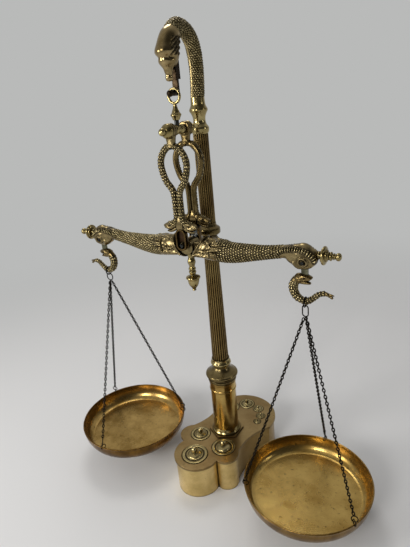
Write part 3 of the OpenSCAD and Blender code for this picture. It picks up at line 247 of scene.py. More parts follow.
nodeFinishes = {
    "satinCasingBrass": "base_casing",
    "tarnishedPlateBrass": "base_plate column_flange plate_screws",
    "handledWeightBrass": " ".join("weight_%d" % i for i in range(1, 9)),
    "lacqueredColumnBrass": "pedestal_barrel pedestal_band",
    "turnedMouldingBrass": "pedestal_foot shaft_ring top_collar swivel_barrel",
    "brownedMouldingBrass": "pedestal_cap knop",
    "reededShaftBrass": "lower_shaft upper_shaft",
    "castFigureBrass": "gooseneck bird_head front_shackle_plate rear_shackle_plate beam_centre left_arm "
                       "right_arm left_hook right_hook",
    "polishedFinialBrass": "suspension_eye swivel_cap dome_nuts left_finial right_finial pendant",
    "spunLeftPanBrass": "left_pan", "spunRightPanBrass": "right_pan",
    "blackenedSteel": "tie_rod rod_washer rod_nut lower_jaw beak_hook",
    "agedSpindleSteel": "swivel_stem shackle_pin knife_edge end_pins",
    "shadedBearingSteel": "front_bearing", "mottledBearingSteel": "rear_bearing",
    "greyLinkSteel": "left_link right_link",
    "oxidisedChainWire": "left_upper_ring left_lower_ring right_upper_ring right_oval_link left_chains "
                         "right_chains left_pan_loops right_pan_loops"}
for finish, names in nodeFinishes.items():
    for name in names.split():
        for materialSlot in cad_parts[name].material_slots:
            materialSlot.material = finishes[finish]
print("CAD nodes dressed")


# Castings: the same knots as their solids, swept finely and carved

# Driving sizes of the solids, in mm
sizes = {"neckZ": 609.1, "neckRise": 82.0, "overhang": 53.0, "neckD": 18.8, "headW": 24.4, "pinZ": 572.7,
         "shackleDrop": 154.6, "serpentD": 8.4, "shackleW": 48.6, "plateY": 16.5, "domeD": 18.6,
         "housingW": 17.0, "housingH": 31.0, "housingT": 7.0, "bearingRim": 2.8, "windowR": 5.0,
         "knifeZ": 418.1, "armL": 168.0, "endDrop": 5.0, "mouthH": 31.0, "mouthW": 28.0, "mouthX": 7.0,
         "finialX": 184.6, "linkW": 8.4, "linkT": 3.6, "hookDrop": 53.4, "hookD": 8.0, "loopR": 92.8,
         "chainD": 2.2, "chainEndZ": 73.1}
knifeZ, armL, pinZ = sizes["knifeZ"], sizes["armL"], sizes["pinZ"]
pivotZ = knifeZ - sizes["endDrop"]
cupZ = knifeZ + sizes["windowR"] + 7.5  # middle of the cup round a bearing


def around(sides):
    return np.arange(sides) * 2 * math.pi / sides


# Smooth curve through knots, with the given number of steps between two knots
def smoothKnots(knots, steps):
    k = np.array(knots, float)
    rows = []
    for i in range(len(k) - 1):
        a, b, c, d = k[max(i - 1, 0)], k[i], k[i + 1], k[min(i + 2, len(k) - 1)]
        for s in range(steps):
            t = s / steps
            rows.append(0.5 * (2 * b + (c - a) * t + (2 * a - 5 * b + 4 * c - d) * t ** 2
                               + (3 * b - a - 3 * c + d) * t ** 3))
    rows.append(k[-1])
    return np.array(rows)


# How far along a line each of its points lies
def runAlong(line):
    return np.concatenate([[0], np.cumsum(np.linalg.norm(np.diff(line, axis=0), axis=1))])


# Rings of points round a line of stations [along, height, half height, half width]
def sweptGrid(line, sides):
    ahead = np.gradient(line[:, :2], axis=0)
    ahead /= np.linalg.norm(ahead, axis=1)[:, None]
    up = np.outer(line[:, 2], np.cos(around(sides)))
    across = np.outer(line[:, 3], np.sin(around(sides)))
    return np.stack([line[:, 0:1] - ahead[:, 1:2] * up, across, line[:, 1:2] + ahead[:, 0:1] * up], axis=2)


def gridNormals(grid):
    normal = np.cross(np.gradient(grid, axis=0), np.roll(grid, -1, axis=1) - np.roll(grid, 1, axis=1))
    normal /= np.maximum(np.linalg.norm(normal, axis=2, keepdims=True), 1e-9)
    outward = grid - grid.mean(axis=1, keepdims=True)
    return normal * np.sign((normal * outward).sum(axis=(1, 2)))[:, None, None]


def bell(x, middle, reach):
    return np.exp(-((x - middle) / reach) ** 2)


# Height of a soft round mark on a flank, 1 at its middle
def mark(a, z, at, reach):
    return np.exp(-((a - at[0]) / reach[0]) ** 2 - ((z - at[1]) / reach[1]) ** 2)


def rise(value, low, high):
    t = np.clip((value - low) / (high - low), 0, 1)
    return t * t * (3 - 2 * t)


# Leaf that lies on a flank: 1 inside its outline, falling off at its edge, with a vein down its middle
def leaf(a, z, root, tip, width, vein=0.35):
    root, tip = np.array(root), np.array(tip)
    way = (tip - root) / np.linalg.norm(tip - root)
    s = ((a - root[0]) * way[0] + (z - root[1]) * way[1]) / np.linalg.norm(tip - root)
    t = np.abs((z - root[1]) * way[0] - (a - root[0]) * way[1])
    half = width * np.sqrt(np.clip(1 - np.clip(s, 0, 1) ** 1.6, 0, 1)) * rise(s, -0.15, 0.15)
    inside = (1 - rise(t, half * 0.7, half + 0.35)) * (s > -0.15) * (s < 1.05)
    return inside * (1 - vein * bell(t, 0, 0.5))


# Leaves as (root, tip, half width, height) and round marks as (place, reach, height), added up
def chased(a, z, rows):
    return sum((leaf if len(row) == 4 else mark)(a, z, *row[:-1]) * row[-1] for row in rows)


# Values of a grid at fractional ring and side numbers
def sampleGrid(values, ring, side):
    rings, sides = values.shape[:2]
    ring = np.clip(ring, 0, rings - 1.001)
    i, j = ring.astype(int), np.floor(side).astype(int)
    f, g = (ring - i)[:, None], (side - j)[:, None]
    j, nextJ = j % sides, (j + 1) % sides
    return ((1 - f) * (1 - g) * values[i, j] + f * (1 - g) * values[i + 1, j]
            + (1 - f) * g * values[i, nextJ] + f * g * values[i + 1, nextJ])


def gridFaces(rings, sides, closed):
    return [(i * sides + j, i * sides + (j + 1) % sides,
             (i + 1) % rings * sides + (j + 1) % sides, (i + 1) % rings * sides + j)
            for i in range(rings - (not closed)) for j in range(sides)]


# A shell is its points in mm, its faces and the number of its finish, or one number for each face
def tubeShell(grid, finish=0):
    rings, sides = grid.shape[:2]
    points = np.vstack([grid.reshape(-1, 3), grid[0].mean(axis=0), grid[-1].mean(axis=0)])
    faces = gridFaces(rings, sides, False)
    first, last = rings * sides, rings * sides + 1
    faces += [(first, (j + 1) % sides, j) for j in range(sides)]
    faces += [(last, (rings - 1) * sides + j, (rings - 1) * sides + (j + 1) % sides) for j in range(sides)]
    if np.ndim(finish):
        finish = np.concatenate([finish.ravel(), np.full(2 * sides, finish.ravel()[0])]).astype(int)
    return points, faces, finish


# A band of rings that closes on itself
def hoopShell(grid, finish=0):
    return grid.reshape(-1, 3), gridFaces(*grid.shape[:2], True), finish


# Rounded ball or bead with its own three half axes
def ballShell(centre, radii, finish=0, sides=16, rings=9):
    lift, turn = np.linspace(0.12, math.pi - 0.12, rings), around(sides)
    grid = np.stack([np.outer(np.sin(lift), np.cos(turn)), np.outer(np.sin(lift), np.sin(turn)),
                     np.outer(np.cos(lift), np.ones(sides))], axis=2)
    return tubeShell(grid * np.array(radii) + np.array(centre), finish)


# Turned profile [radius, distance] round a line through a point, along a unit direction
def turnedShell(profile, origin, axis, sides=40, steps=3):
    line, axis = smoothKnots(profile, steps), np.array(axis, float)
    side = np.cross(axis, (0.0, 0.0, 1.0) if abs(axis[2]) < 0.9 else (1.0, 0.0, 0.0))
    side /= np.linalg.norm(side)
    spoke = np.outer(np.cos(around(sides)), side) + np.outer(np.sin(around(sides)), np.cross(axis, side))
    return tubeShell(np.array(origin) + line[:, None, 1:2] * axis
                     + np.maximum(line[:, None, 0:1], 0.02) * spoke[None])


# Outlines in the (along, height) plane, each at its own depth
def layeredShell(layers):
    return tubeShell(np.stack([np.stack([outline[:, 0], np.full(len(outline), depth), outline[:, 1]], axis=1)
                               for outline, depth in layers]))


# Flat plate with softened edges, from one depth to another
def plateShell(outline, low, high, soft):
    outline = np.array(outline, float)
    away = outline - outline.mean(axis=0)
    inset = outline - away / np.linalg.norm(away, axis=1)[:, None] * soft
    return layeredShell([(inset, low), (outline, low + soft), (outline, high - soft), (inset, high)])


# Joins shells into one object, which a place function may carry into the balance
def makeObject(name, shells, finishNames, place=None, sharpAngle=50):
    points, faces, numbers, start = [], [], [], 0
    for shellPoints, shellFaces, finish in shells:
        points.append(shellPoints)
        faces += [tuple(start + v for v in face) for face in shellFaces]
        numbers += list(finish) if np.ndim(finish) else [finish] * len(shellFaces)
        start += len(shellPoints)
    points = np.vstack(points)
    mesh = bpy.data.meshes.new(name)
    mesh.from_pydata(((place(points) if place else points) * mm).tolist(), [], faces)
    mesh.polygons.foreach_set("material_index", numbers)
    for finishName in finishNames:
        mesh.materials.append(finishes[finishName])
    work = bmesh.new()
    work.from_mesh(mesh)
    bmesh.ops.recalc_face_normals(work, faces=work.faces)
    work.to_mesh(mesh)
    work.free()
    mesh.polygons.foreach_set("use_smooth", [True] * len(mesh.polygons))
    mesh.set_sharp_from_angle(angle=math.radians(sharpAngle))
    piece = bpy.data.objects.new(name, mesh)
    bpy.context.collection.objects.link(piece)
    return piece


def finishPiece(piece, body, slotName, *replaced):
    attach(piece, body)
    if replaced:
        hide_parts(*replaced)
    print("piece:", piece.name, len(piece.data.polygons), "faces")


# The mesh of an object as its modifiers leave it
def finalMesh(piece):
    bpy.context.view_layer.update()
    return bpy.data.meshes.new_from_object(piece.evaluated_get(bpy.context.evaluated_depsgraph_get()))


# Cuts one mesh out of another and leaves a plain mesh
def cutOut(piece, cutter):
    change = piece.modifiers.new("cut", "BOOLEAN")
    change.operation, change.solver, change.object = "DIFFERENCE", "EXACT", cutter
    cut, old = finalMesh(piece), piece.data
    piece.modifiers.clear()
    piece.data = cut
    bpy.data.meshes.remove(old)
    bpy.data.objects.remove(cutter)


# Scales and links, laid by a node tree on points that carry their own turn and size

def makeLayTree(name, inputs, shapeRows, shape):
    tree = bpy.data.node_groups.new(name, "GeometryNodeTree")
    for label, kind, way in ([("Geometry", "Geometry", "INPUT")] + [(label, "Float", "INPUT") for label in inputs]
                             + [("Finish", "Material", "INPUT"), ("Geometry", "Geometry", "OUTPUT")]):
        tree.interface.new_socket(label, in_out=way, socket_type="NodeSocket" + kind)
    growTree(tree, [("given", "NodeGroupInput", {})] + shapeRows + [
        ("facing", "GeometryNodeInputNamedAttribute", {"data_type": "FLOAT_VECTOR", "Name": "facing"}),
        ("turned", "FunctionNodeEulerToRotation", {0: "@facing.Attribute"}),
        ("size", "GeometryNodeInputNamedAttribute", {"data_type": "FLOAT_VECTOR", "Name": "size"}),
        ("laid", "GeometryNodeInstanceOnPoints", {"Points": "@given.Geometry", "Instance": shape,
                                                  "Rotation": "@turned", "Scale": "@size.Attribute"}),
        ("real", "GeometryNodeRealizeInstances", {0: "@laid.Instances"}),
        ("smooth", "GeometryNodeSetShadeSmooth", {0: "@real"}),
        ("dressed", "GeometryNodeSetMaterial", {"Geometry": "@smooth", "Material": "@given.Finish"}),
        ("end", "NodeGroupOutput", {0: "@dressed.Geometry"})])
    return tree


# A flattened ball that leans back, so that its front edge stands up as a scale's does
scaleTree = makeLayTree("shingledScales", ["Scale Length", "Scale Width", "Scale Thickness", "Scale Tilt"], [
    ("ball", "GeometryNodeMeshUVSphere", {"Segments": 8, "Rings": 5, "Radius": 0.5}),
    ("stretch", "ShaderNodeCombineXYZ",
     {0: "@given.Scale Length", 1: "@given.Scale Width", 2: "@given.Scale Thickness"}),
    ("lean", "ShaderNodeCombineXYZ", {1: "@given.Scale Tilt"}),
    ("flat", "GeometryNodeTransform", {"Geometry": "@ball.Mesh", "Scale": "@stretch"}),
    ("shaped", "GeometryNodeTransform", {"Geometry": "@flat.Geometry", "Rotation": "@lean"})],
    "@shaped.Geometry")
# A closed oval of bent wire
linkTree = makeLayTree("wireLinks", ["Link Length", "Link Width", "Wire"], [
    ("loop", "GeometryNodeCurvePrimitiveCircle", {"Resolution": 14, "Radius": 0.5}),
    ("inner", "ShaderNodeMath", {"operation": "SUBTRACT", 0: "@given.Link Width", 1: "@given.Wire"}),
    ("longer", "ShaderNodeMath", {"operation": "SUBTRACT", 0: "@given.Link Length", 1: "@given.Wire"}),
    ("oval", "ShaderNodeCombineXYZ", {0: "@longer", 1: "@inner", 2: 1.0}),
    ("bent", "GeometryNodeTransform", {"Geometry": "@loop.Curve", "Scale": "@oval"}),
    ("thin", "ShaderNodeMath", {"operation": "MULTIPLY", 0: "@given.Wire", 1: 0.5}),
    ("section", "GeometryNodeCurvePrimitiveCircle", {"Resolution": 6, "Radius": "@thin"}),
    ("link", "GeometryNodeCurveToMesh", {"Curve": "@bent.Geometry", "Profile Curve": "@section.Curve"})],
    "@link.Mesh")


# Euler turns that lay +X along one direction and +Z along another
def facingTurns(ahead, upward):
    z = upward / np.linalg.norm(upward, axis=1)[:, None]
    x = ahead - (ahead * z).sum(axis=1)[:, None] * z
    x /= np.linalg.norm(x, axis=1)[:, None]
    y = np.cross(z, x)
    return np.stack([np.arctan2(y[:, 2], z[:, 2]), -np.arcsin(np.clip(x[:, 2], -1, 1)),
                     np.arctan2(x[:, 1], x[:, 0])], axis=1)


# Lays copies of one small shape on points given in mm and returns a plain object
def layShapes(name, tree, values, finishName, points, turns, scales):
    mesh = bpy.data.meshes.new(name + "Points")
    mesh.from_pydata((points * mm).tolist(), [], [])
    for label, vectors in (("facing", turns), ("size", scales)):
        mesh.attributes.new(label, "FLOAT_VECTOR", "POINT").data.foreach_set("vector", vectors.ravel())
    holder = bpy.data.objects.new(name + "Points", mesh)
    bpy.context.collection.objects.link(holder)
    change = holder.modifiers.new("lay", "NODES")
    change.node_group = tree
    sockets = [item.identifier for item in tree.interface.items_tree if item.in_out == "INPUT"]
    for socket, value in zip(sockets[1:], [value * mm for value in values[:3]] + values[3:]
                             + [finishes[finishName]]):
        change[socket] = value
    laid = finalMesh(holder)
    laid.name = name
    piece = bpy.data.objects.new(name, laid)
    bpy.context.collection.objects.link(piece)
    bpy.data.objects.remove(holder)
    bpy.data.meshes.remove(mesh)
    return piece


# Rows of scale places on a carved surface: where they are, their normals and the way they point
def scaleRows(grid, look, keep):
    run, sides = runAlong(grid.mean(axis=1)), grid.shape[1]
    rings, places = [], []
    for row, distance in enumerate(np.arange(look["rowPitch"] / 2, run[-1], look["rowPitch"])):
        ring = np.interp(distance, run, np.arange(len(run)))
        loop = grid[int(round(ring))]
        girth = np.linalg.norm(loop - np.roll(loop, 1, axis=0), axis=1).sum()
        count = max(6, int(round(girth / look["pitch"])))
        rings.append(np.full(count, ring))
        places.append((np.arange(count) + 0.5 * (row % 2)) / count * sides)
    ring, side = np.concatenate(rings), np.concatenate(places)
    points, upward, ahead = (sampleGrid(values, ring, side)
                             for values in (grid, gridNormals(grid), np.gradient(grid, axis=0)))
    kept = keep(points, upward, side / sides)
    return points[kept], upward[kept], ahead[kept]


# Lays scales on a surface, through the place functions that carry the casting into the balance
def layScales(name, rows, carry, look, body, slotName="cast_brass"):
    points, upward, ahead = rows
    place, turnOnly = carry
    rng = np.random.default_rng(look["seed"])
    points = points + upward / np.linalg.norm(upward, axis=1)[:, None] * look["proud"]
    scales = rng.uniform(0.9, 1.1, len(points))[:, None] * np.ones((1, 3))
    turns = facingTurns(turnOnly(ahead), turnOnly(upward))
    turns[:, 2] += rng.uniform(-0.08, 0.08, len(points))
    values = [look["length"], look["width"], look["thick"], look["tilt"]]
    piece = layShapes(name, scaleTree, values, "rubbedScaleBrass", place(points), turns, scales)
    finishPiece(piece, body, slotName)


# Where each casting's own frame lies in the balance: a function for points in mm, one for directions
def placing(matrix, y=beamY):
    matrix = np.array(matrix, float)
    return (lambda points: points @ matrix.T + (0, y, 0)), (lambda ways: ways @ matrix.T)


sideFrames = {"right": placing(np.diag((1, 1, 1))), "left": placing(np.diag((-1, 1, 1)))}
neckFrame = placing([[0, 1, 0], [-1, 0, 0], [0, 0, 1]], 0)
plateFrames = {"front": placing(np.diag((1, 1, 1)), beamY - sizes["plateY"]),
               "rear": placing(np.diag((1, -1, 1)), beamY + sizes["plateY"])}


# Which faces of a casting lie under scales: their ground takes the dark ground brass, partly tarnish and partly
# painted shade
def groundFaces(grid, under):
    beside = np.roll(grid, -1, axis=1)
    middle = (grid[:-1] + grid[1:] + beside[:-1] + beside[1:]) / 4
    return under(middle.reshape(-1, 3)).reshape(middle.shape[:2]).astype(int)


# The point of one flank that lies nearest a place given along and in height
def surfacePoint(grid, a, z, way):
    flat = grid.reshape(-1, 3)
    flat = flat[flat[:, 1] * way > 0]
    return flat[np.argmin((flat[:, 0] - a) ** 2 + (flat[:, 2] - z) ** 2)]


# Fish arms

armLook = {
    "steps": 14, "sides": 120, "lean": {"left": 24.0, "right": 36.0}, "leanFrom": 46,
    # Knots: share of the arm's length, rise from the knife edge, change of half height and half width
    "knots": [(0.11, -1.2, -1.4, -1.4), (0.18, -2, -0.8, -0.8), (0.27, -3.8, -1, -1.2), (0.36, -4.6, -1.3, -2),
              (0.46, -3.8, -2.6, -3), (0.57, -1.8, -4.6, -4.2), (0.68, 0.4, -6.4, -5.4), (0.79, 3.2, -7.4, -6),
              (0.86, 4.6, -6.6, -5.4), (0.91, 3, -2.8, -4), (0.965, 1.4, 0.6, -3)],
    # The same past the end pin, with mm in place of the share
    "endKnots": [(2, 1.4, 0.6, -3), (9, 2.2, -2.6, -4.2), (14.4, 3.6, -8, -7), (17.6, 4.3, -12, -11)],
    # Rings from the throat out to the lip: [along, half height, half width]
    "throat": [(27, 4.6, 4.4), (26, 7, 6.6), (21, 9.4, 8.6), (15, 12, 11), (10.5, 13.8, 12.6), (8, 14.5, 13.3),
               (6.5, 15.4, 14)],
    # Leaves, grooves, eye sockets and nostrils, measured from the knife edge
    "chasing": [((39, 7.5), (61, 7), 3.4, 2.3), ((39, 1), (58, 1.2), 3.2, 2.2), ((39, -5), (55, -6.2), 3.0, 2.1),
                ((42, 12), (57, 11.5), 2.5, 1.9), ((18, 9.5), (36, 5.5), 2.1, 2.6),
                ((16, -1.5), (34, -3), 1.7, 1.8), ((9, -10), (50, -9), 2.2, 2.0),
                ((14, -5.2), (36, -5.8), 1.1, -2.0), ((22, -0.6), (38, 0.4), 0.9, -1.4),
                ((14, 12.5), (32, 12), 1.0, -1.3), ((38, -11), (39.5, 12), 1.2, -1.6),
                ((30.5, 2.0), (4.4, 3.2), -1.3), ((24, 10.8), (1.4, 1.2), -0.9)],
    # Lips: where, reach, height. The head ends in a step between two lines that bow out at one height.
    "lips": [(8.6, 1.9, 1.0), (13, 1.8, -0.7)], "headEnd": (45, 47), "headBow": (8, 4, 5), "headStep": 0.7,
    "eye": (30.5, 2.0), "eyeR": 2.7,
    # Swirl round the end pin: its middle, rings as (radius, reach, height), and the boss and groove beside it
    "swirl": (168.0, -4.4), "swirlRings": [(5.4, 0.9, 0.7), (7.6, 1.2, -1.2)], "swirlRim": (11.4, 1.5, 1.3),
    "swirlHollow": (2.8, 4.6, -1.6), "swirlDip": ((153, 1.0), (7.0, 4.4), -1.9), "swirlClear": 17.4,
    # The band round the swirl and the path along the fan's teeth take the dark ground brass: dirt and painted
    # shade
    "dirtAndShadeBand": (2.9, 4.6), "dirtAndShadePath": 4.0, "flank": (0.15, 0.6), "slotRoom": (2, 0.6), "slotDrop": 30,
    "fins": [[(57, 7.5), (60.5, 10.4), (63.5, 11.4), (67, 10.4), (71.5, 7.2)],
             [(131.5, -3.5), (134, -6.6), (137, -6.9), (139.5, -3.6)]]}
armScales = {"seed": 11, "length": 4.0, "width": 3.0, "thick": 1.8, "tilt": -0.32, "proud": -0.2,
             "rowPitch": 3.75, "pitch": 3.45, "from": 47.0, "to": 138.0, "bow": (9, 4, 5), "setBack": 0.8}
# Teeth that stand in an arc over the swirl on both flanks
swirlFan = {"seed": 6, "length": 7.6, "width": 2.3, "thick": 3.4, "tilt": -0.1, "proud": 0.1, "pitch": 3.2,
            "path": [(135, 3.5), (141, 7.6), (149, 10), (158, 10.8), (167, 10.2), (175, 7.4), (181, 2.5),
                     (183.5, -4)]}


def armKnots(look):
    h, w = sizes["mouthH"] / 2, sizes["mouthW"] / 2
    return ([(sizes["mouthX"], knifeZ - 0.6, h, w)]
            + [(share * armL, knifeZ + z, h + dh, w + dw) for share, z, dh, dw in look["knots"]]
            + [(armL + x, knifeZ + z, h + dh, w + dw) for x, z, dh, dw in look["endKnots"]])


# Distance from the swirl's middle
def fromSwirl(a, z, look):
    return np.hypot(a - look["swirl"][0], z - look["swirl"][1])


# Chasing on the fish: lips, head leaves, eye sockets and the fluted swirl round the end pin
def armRelief(grid, look):
    normals = gridNormals(grid)
    a, z = grid[..., 0], grid[..., 2] - knifeZ
    flank = rise(np.abs(normals[..., 1]), *look["flank"])
    bow = look["headBow"][0] * bell(z, *look["headBow"][1:])
    away = fromSwirl(a, z, look)
    turn = np.arctan2(z - look["swirl"][1], a - look["swirl"][0])
    radius, reach, lift = look["swirlRim"]
    inner, outer, deep = look["swirlHollow"]
    swirl = (sum(ringLift * bell(away, at, width) for at, width, ringLift in look["swirlRings"])
             + lift * bell(away, radius, reach) * rise(-turn, 0.1, 0.6) + deep * (1 - rise(away, inner, outer)))
    height = sum(lip * bell(a, at, width) for at, width, lip in look["lips"])
    height += look["headStep"] * (1 - rise(a, look["headEnd"][0] + bow, look["headEnd"][1] + bow))
    height += flank * (chased(a, z, look["chasing"] + [look["swirlDip"]]) + swirl)
    return grid + normals * height[..., None]


# Leans the mouth back, so that the upper lip stands behind the lower one
def leanMouth(grid, lean, start):
    share = np.clip((start - grid[..., 0]) / (start - sizes["mouthX"]), 0, 1)
    leaned = grid.copy()
    leaned[..., 0] += (grid[..., 2] - (knifeZ - sizes["mouthH"] / 2)) * math.tan(math.radians(lean)) * share
    return leaned


def fanRows(outer, look):
    normals, flat = gridNormals(outer).reshape(-1, 3), outer.reshape(-1, 3)
    line = smoothKnots(look["path"], 10)
    run = runAlong(line)
    places = np.arange(0, run[-1], look["pitch"])
    path = np.stack([np.interp(places, run, line[:, i]) for i in (0, 1)], axis=1)
    rows = []
    for way in (-1, 1):
        flank = np.flatnonzero(flat[:, 1] * way > 0)
        for (a, z), (dx, dz) in zip(path, np.gradient(path, axis=0)):
            near = flank[np.argmin((flat[flank, 0] - a) ** 2 + (flat[flank, 2] - (knifeZ + z)) ** 2)]
            rows.append((flat[near], normals[near], (-dz, 0, dx)))
    return tuple(np.array(column, float) for column in zip(*rows))


def makeArm(side, look, scaleLook, fanLook):
    place, turnOnly = sideFrames[side]
    outer = sweptGrid(smoothKnots(armKnots(look), look["steps"]), look["sides"])
    outer = leanMouth(armRelief(outer, look), look["lean"][side], look["leanFrom"])
    turn = around(look["sides"])
    throat = np.stack([np.stack([np.full(len(turn), a), w * np.sin(turn), knifeZ - 0.6 + h * np.cos(turn)], axis=1)
                       for a, h, w in look["throat"]])
    throat = leanMouth(throat, look["lean"][side], look["leanFrom"])
    fanLine = smoothKnots(fanLook["path"], 6)

    def under(p):
        edge = scaleLook["from"] + scaleLook["bow"][0] * bell(p[:, 2] - knifeZ, *scaleLook["bow"][1:])
        away = fromSwirl(p[:, 0], p[:, 2] - knifeZ, look)
        return (p[:, 0] > edge) & (p[:, 0] < scaleLook["to"]) & (away > look["swirlClear"])

    # dirt and painted shade: scaled faces, the fan's path and a band round the swirl take the dark ground brass
    def dirty(p):
        toPath = np.hypot(p[:, None, 0] - fanLine[None, :, 0], p[:, None, 2] - knifeZ - fanLine[None, :, 1])
        away = fromSwirl(p[:, 0], p[:, 2] - knifeZ, look)
        near, far = look["dirtAndShadeBand"]
        return under(p) | (toPath.min(axis=1) < look["dirtAndShadePath"]) | ((away > near) & (away < far))

    # The throat inside the mouth takes the dark ground brass as painted shade
    ground = np.vstack([np.full((len(throat), look["sides"]), 1), groundFaces(outer, dirty)])
    shells = [tubeShell(np.concatenate([throat, outer]), ground)]
    for way in (-1, 1):
        eye = surfacePoint(outer, look["eye"][0] + 4.5, knifeZ + look["eye"][1], way)
        shells.append(ballShell(eye - (0, 0.4 * way, 0), (look["eyeR"], 1.7, look["eyeR"] * 0.85)))
    for outline in look["fins"]:
        shells.append(plateShell([(a, z + knifeZ) for a, z in outline], -0.9, 0.9, 0.4))
    piece = makeObject(side + "FishArm", shells, ["castFigureBrass", "tarnishedShadedGroundBrass"], place)
    # The slot that the flat link hangs in
    slot, half = sizes["linkW"] / 2 + look["slotRoom"][0], sizes["linkT"] / 2 + look["slotRoom"][1]
    arc = [(armL + slot * math.cos(t), pivotZ + slot * math.sin(t)) for t in np.linspace(0, math.pi, 13)]
    foot = pivotZ - look["slotDrop"]
    outline = np.array([(armL + slot, foot)] + arc + [(armL - slot, foot)])
    slot = layeredShell([(outline, -half), (outline, half)])
    cutOut(piece, makeObject("slot", [slot], ["castFigureBrass"], place))
    finishPiece(piece, "beam", "cast_brass", side + "_arm")
    rows = scaleRows(outer, scaleLook, lambda p, n, share: under(p - (scaleLook["setBack"], 0, 0)))
    layScales(side + "FishScales", rows, sideFrames[side], scaleLook, "beam")
    layScales(side + "SwirlFan", fanRows(outer, fanLook), sideFrames[side], fanLook, "beam")


for side in ("right", "left"):
    makeArm(side, armLook, armScales, swirlFan)


# Bird's neck and head

neckLook = {"steps": 12, "sides": 72, "seam": 0.569, "seamHalf": 0.036, "seamReach": 0.022, "seamHeight": 1.0,
            "nape": 0.5, "crest": 0.6, "ground": 0.55}
neckScales = {"seed": 5, "length": 3.7, "width": 3.1, "thick": 2.0, "tilt": -0.24, "proud": -0.15,
              "rowPitch": 3.0, "pitch": 3.3}
# Heights on the head are shares of the neck's rise, places round it are cosines from the face
headLook = {"eye": (64.5, 0.572), "eyeR": 1.7, "socket": ((3.6, 3.2), -1.4),
            "brow": (0.665, 0.075, 1.9), "hollow": (0.575, 0.036, -1.7),
            "cheekSides": (-0.8, -0.6, 0.42, 0.62), "cheekHeights": (0.58, 0.62, 0.84, 0.88),
            "barbHeight": 1.0, "barbPitch": 6.6, "barbLean": 1.2, "barbShade": -0.15}


def neckKnots(crest):
    r, k, o, n = sizes["neckD"] / 2, sizes["neckRise"], sizes["overhang"], sizes["neckZ"]
    return [(0, n - 3, r, r), (-2.5, n + 0.17 * k, r, r), (-3.8, n + 0.38 * k, r + 0.2, r),
            (-3, n + 0.58 * k, r + 0.4, r + 0.2), (1.2, n + 0.78 * k, r + 0.4, r + 0.3),
            (10, n + 0.92 * k, r + 0.2, r + 0.2), (0.41 * o, n + 0.99 * k, r + 0.6, r + 0.3),
            (0.64 * o, n + k, r + 0.8 + crest / 3, r + 0.6),
            (0.82 * o, n + 0.92 * k, r + 1 + crest, r + 0.8 + 0.5 * crest)]


def headKnots():
    w, k, o, n = sizes["headW"] / 2, sizes["neckRise"], sizes["overhang"], sizes["neckZ"]
    beak = [(5.8, 0.43, 0.56, 0.5), (5.8, 0.38, 0.44, 0.4), (5.8, 0.345, 0.36, 0.34), (5.6, 0.32, 0.4, 0.38),
            (5.4, 0.288, 0.4, 0.38), (5.4, 0.262, 0.3, 0.3), (5.4, 0.25, 0.08, 0.08)]
    return ([(0.94 * o, n + 0.84 * k, w + 1.6, w - 0.6), (o + 2.5, n + 0.71 * k, w + 3.4, w),
             (o + 4.6, n + 0.59 * k, w + 3, w - 0.2), (o + 5.4, n + 0.5 * k, w + 0.2, w - 2)]
            + [(o + x, n + share * k, high * w, wide * w) for x, share, high, wide in beak])


# The line from the neck's foot to the beak's tip, and the station where the head begins
def neckLine(look):
    line = smoothKnots(neckKnots(look["nape"]) + headKnots(), look["steps"])
    return line, (len(neckKnots(0)) - 1) * look["steps"]


def makeNeck(look, scaleLook):
    line, start = neckLine(look)
    grid = sweptGrid(line, look["sides"])[:start + 1]
    side = np.cos(around(look["sides"]))[None, :]
    toEnd = (len(grid) - 1 - np.arange(len(grid)))[:, None] / look["steps"]
    share = (np.arange(look["sides"]) / look["sides"])[None, :]
    height = (look["seamHeight"] * bell(share, look["seam"], look["seamReach"])
              - look["ground"] * np.ones((len(grid), 1)))
    height += look["crest"] * rise(side, 0.3, 0.95) * rise(-toEnd, -1.6, -0.5)  # the crest ends in a step
    grid = grid + gridNormals(grid) * height[..., None]

    def offSeam(share):
        return np.abs(share - look["seam"]) > look["seamHalf"]

    # The seam strip takes the pale neck brass, which partly paints its highlight
    ground = np.where(offSeam(share), 0, 1) * np.ones((len(grid) - 1, 1), int)
    piece = makeObject("gooseneckCasting", [tubeShell(grid, ground)], ["brownedNeckGroundBrass", "polishedHighlightNeckBrass"],
                       neckFrame[0])
    finishPiece(piece, "stand", "column_brass", "gooseneck")
    rows = scaleRows(grid, scaleLook, lambda p, n, share: offSeam(share) & (p[:, 2] > sizes["neckZ"] + 1))
    layScales("gooseneckPebbles", rows, neckFrame, scaleLook, "stand", "column_brass")


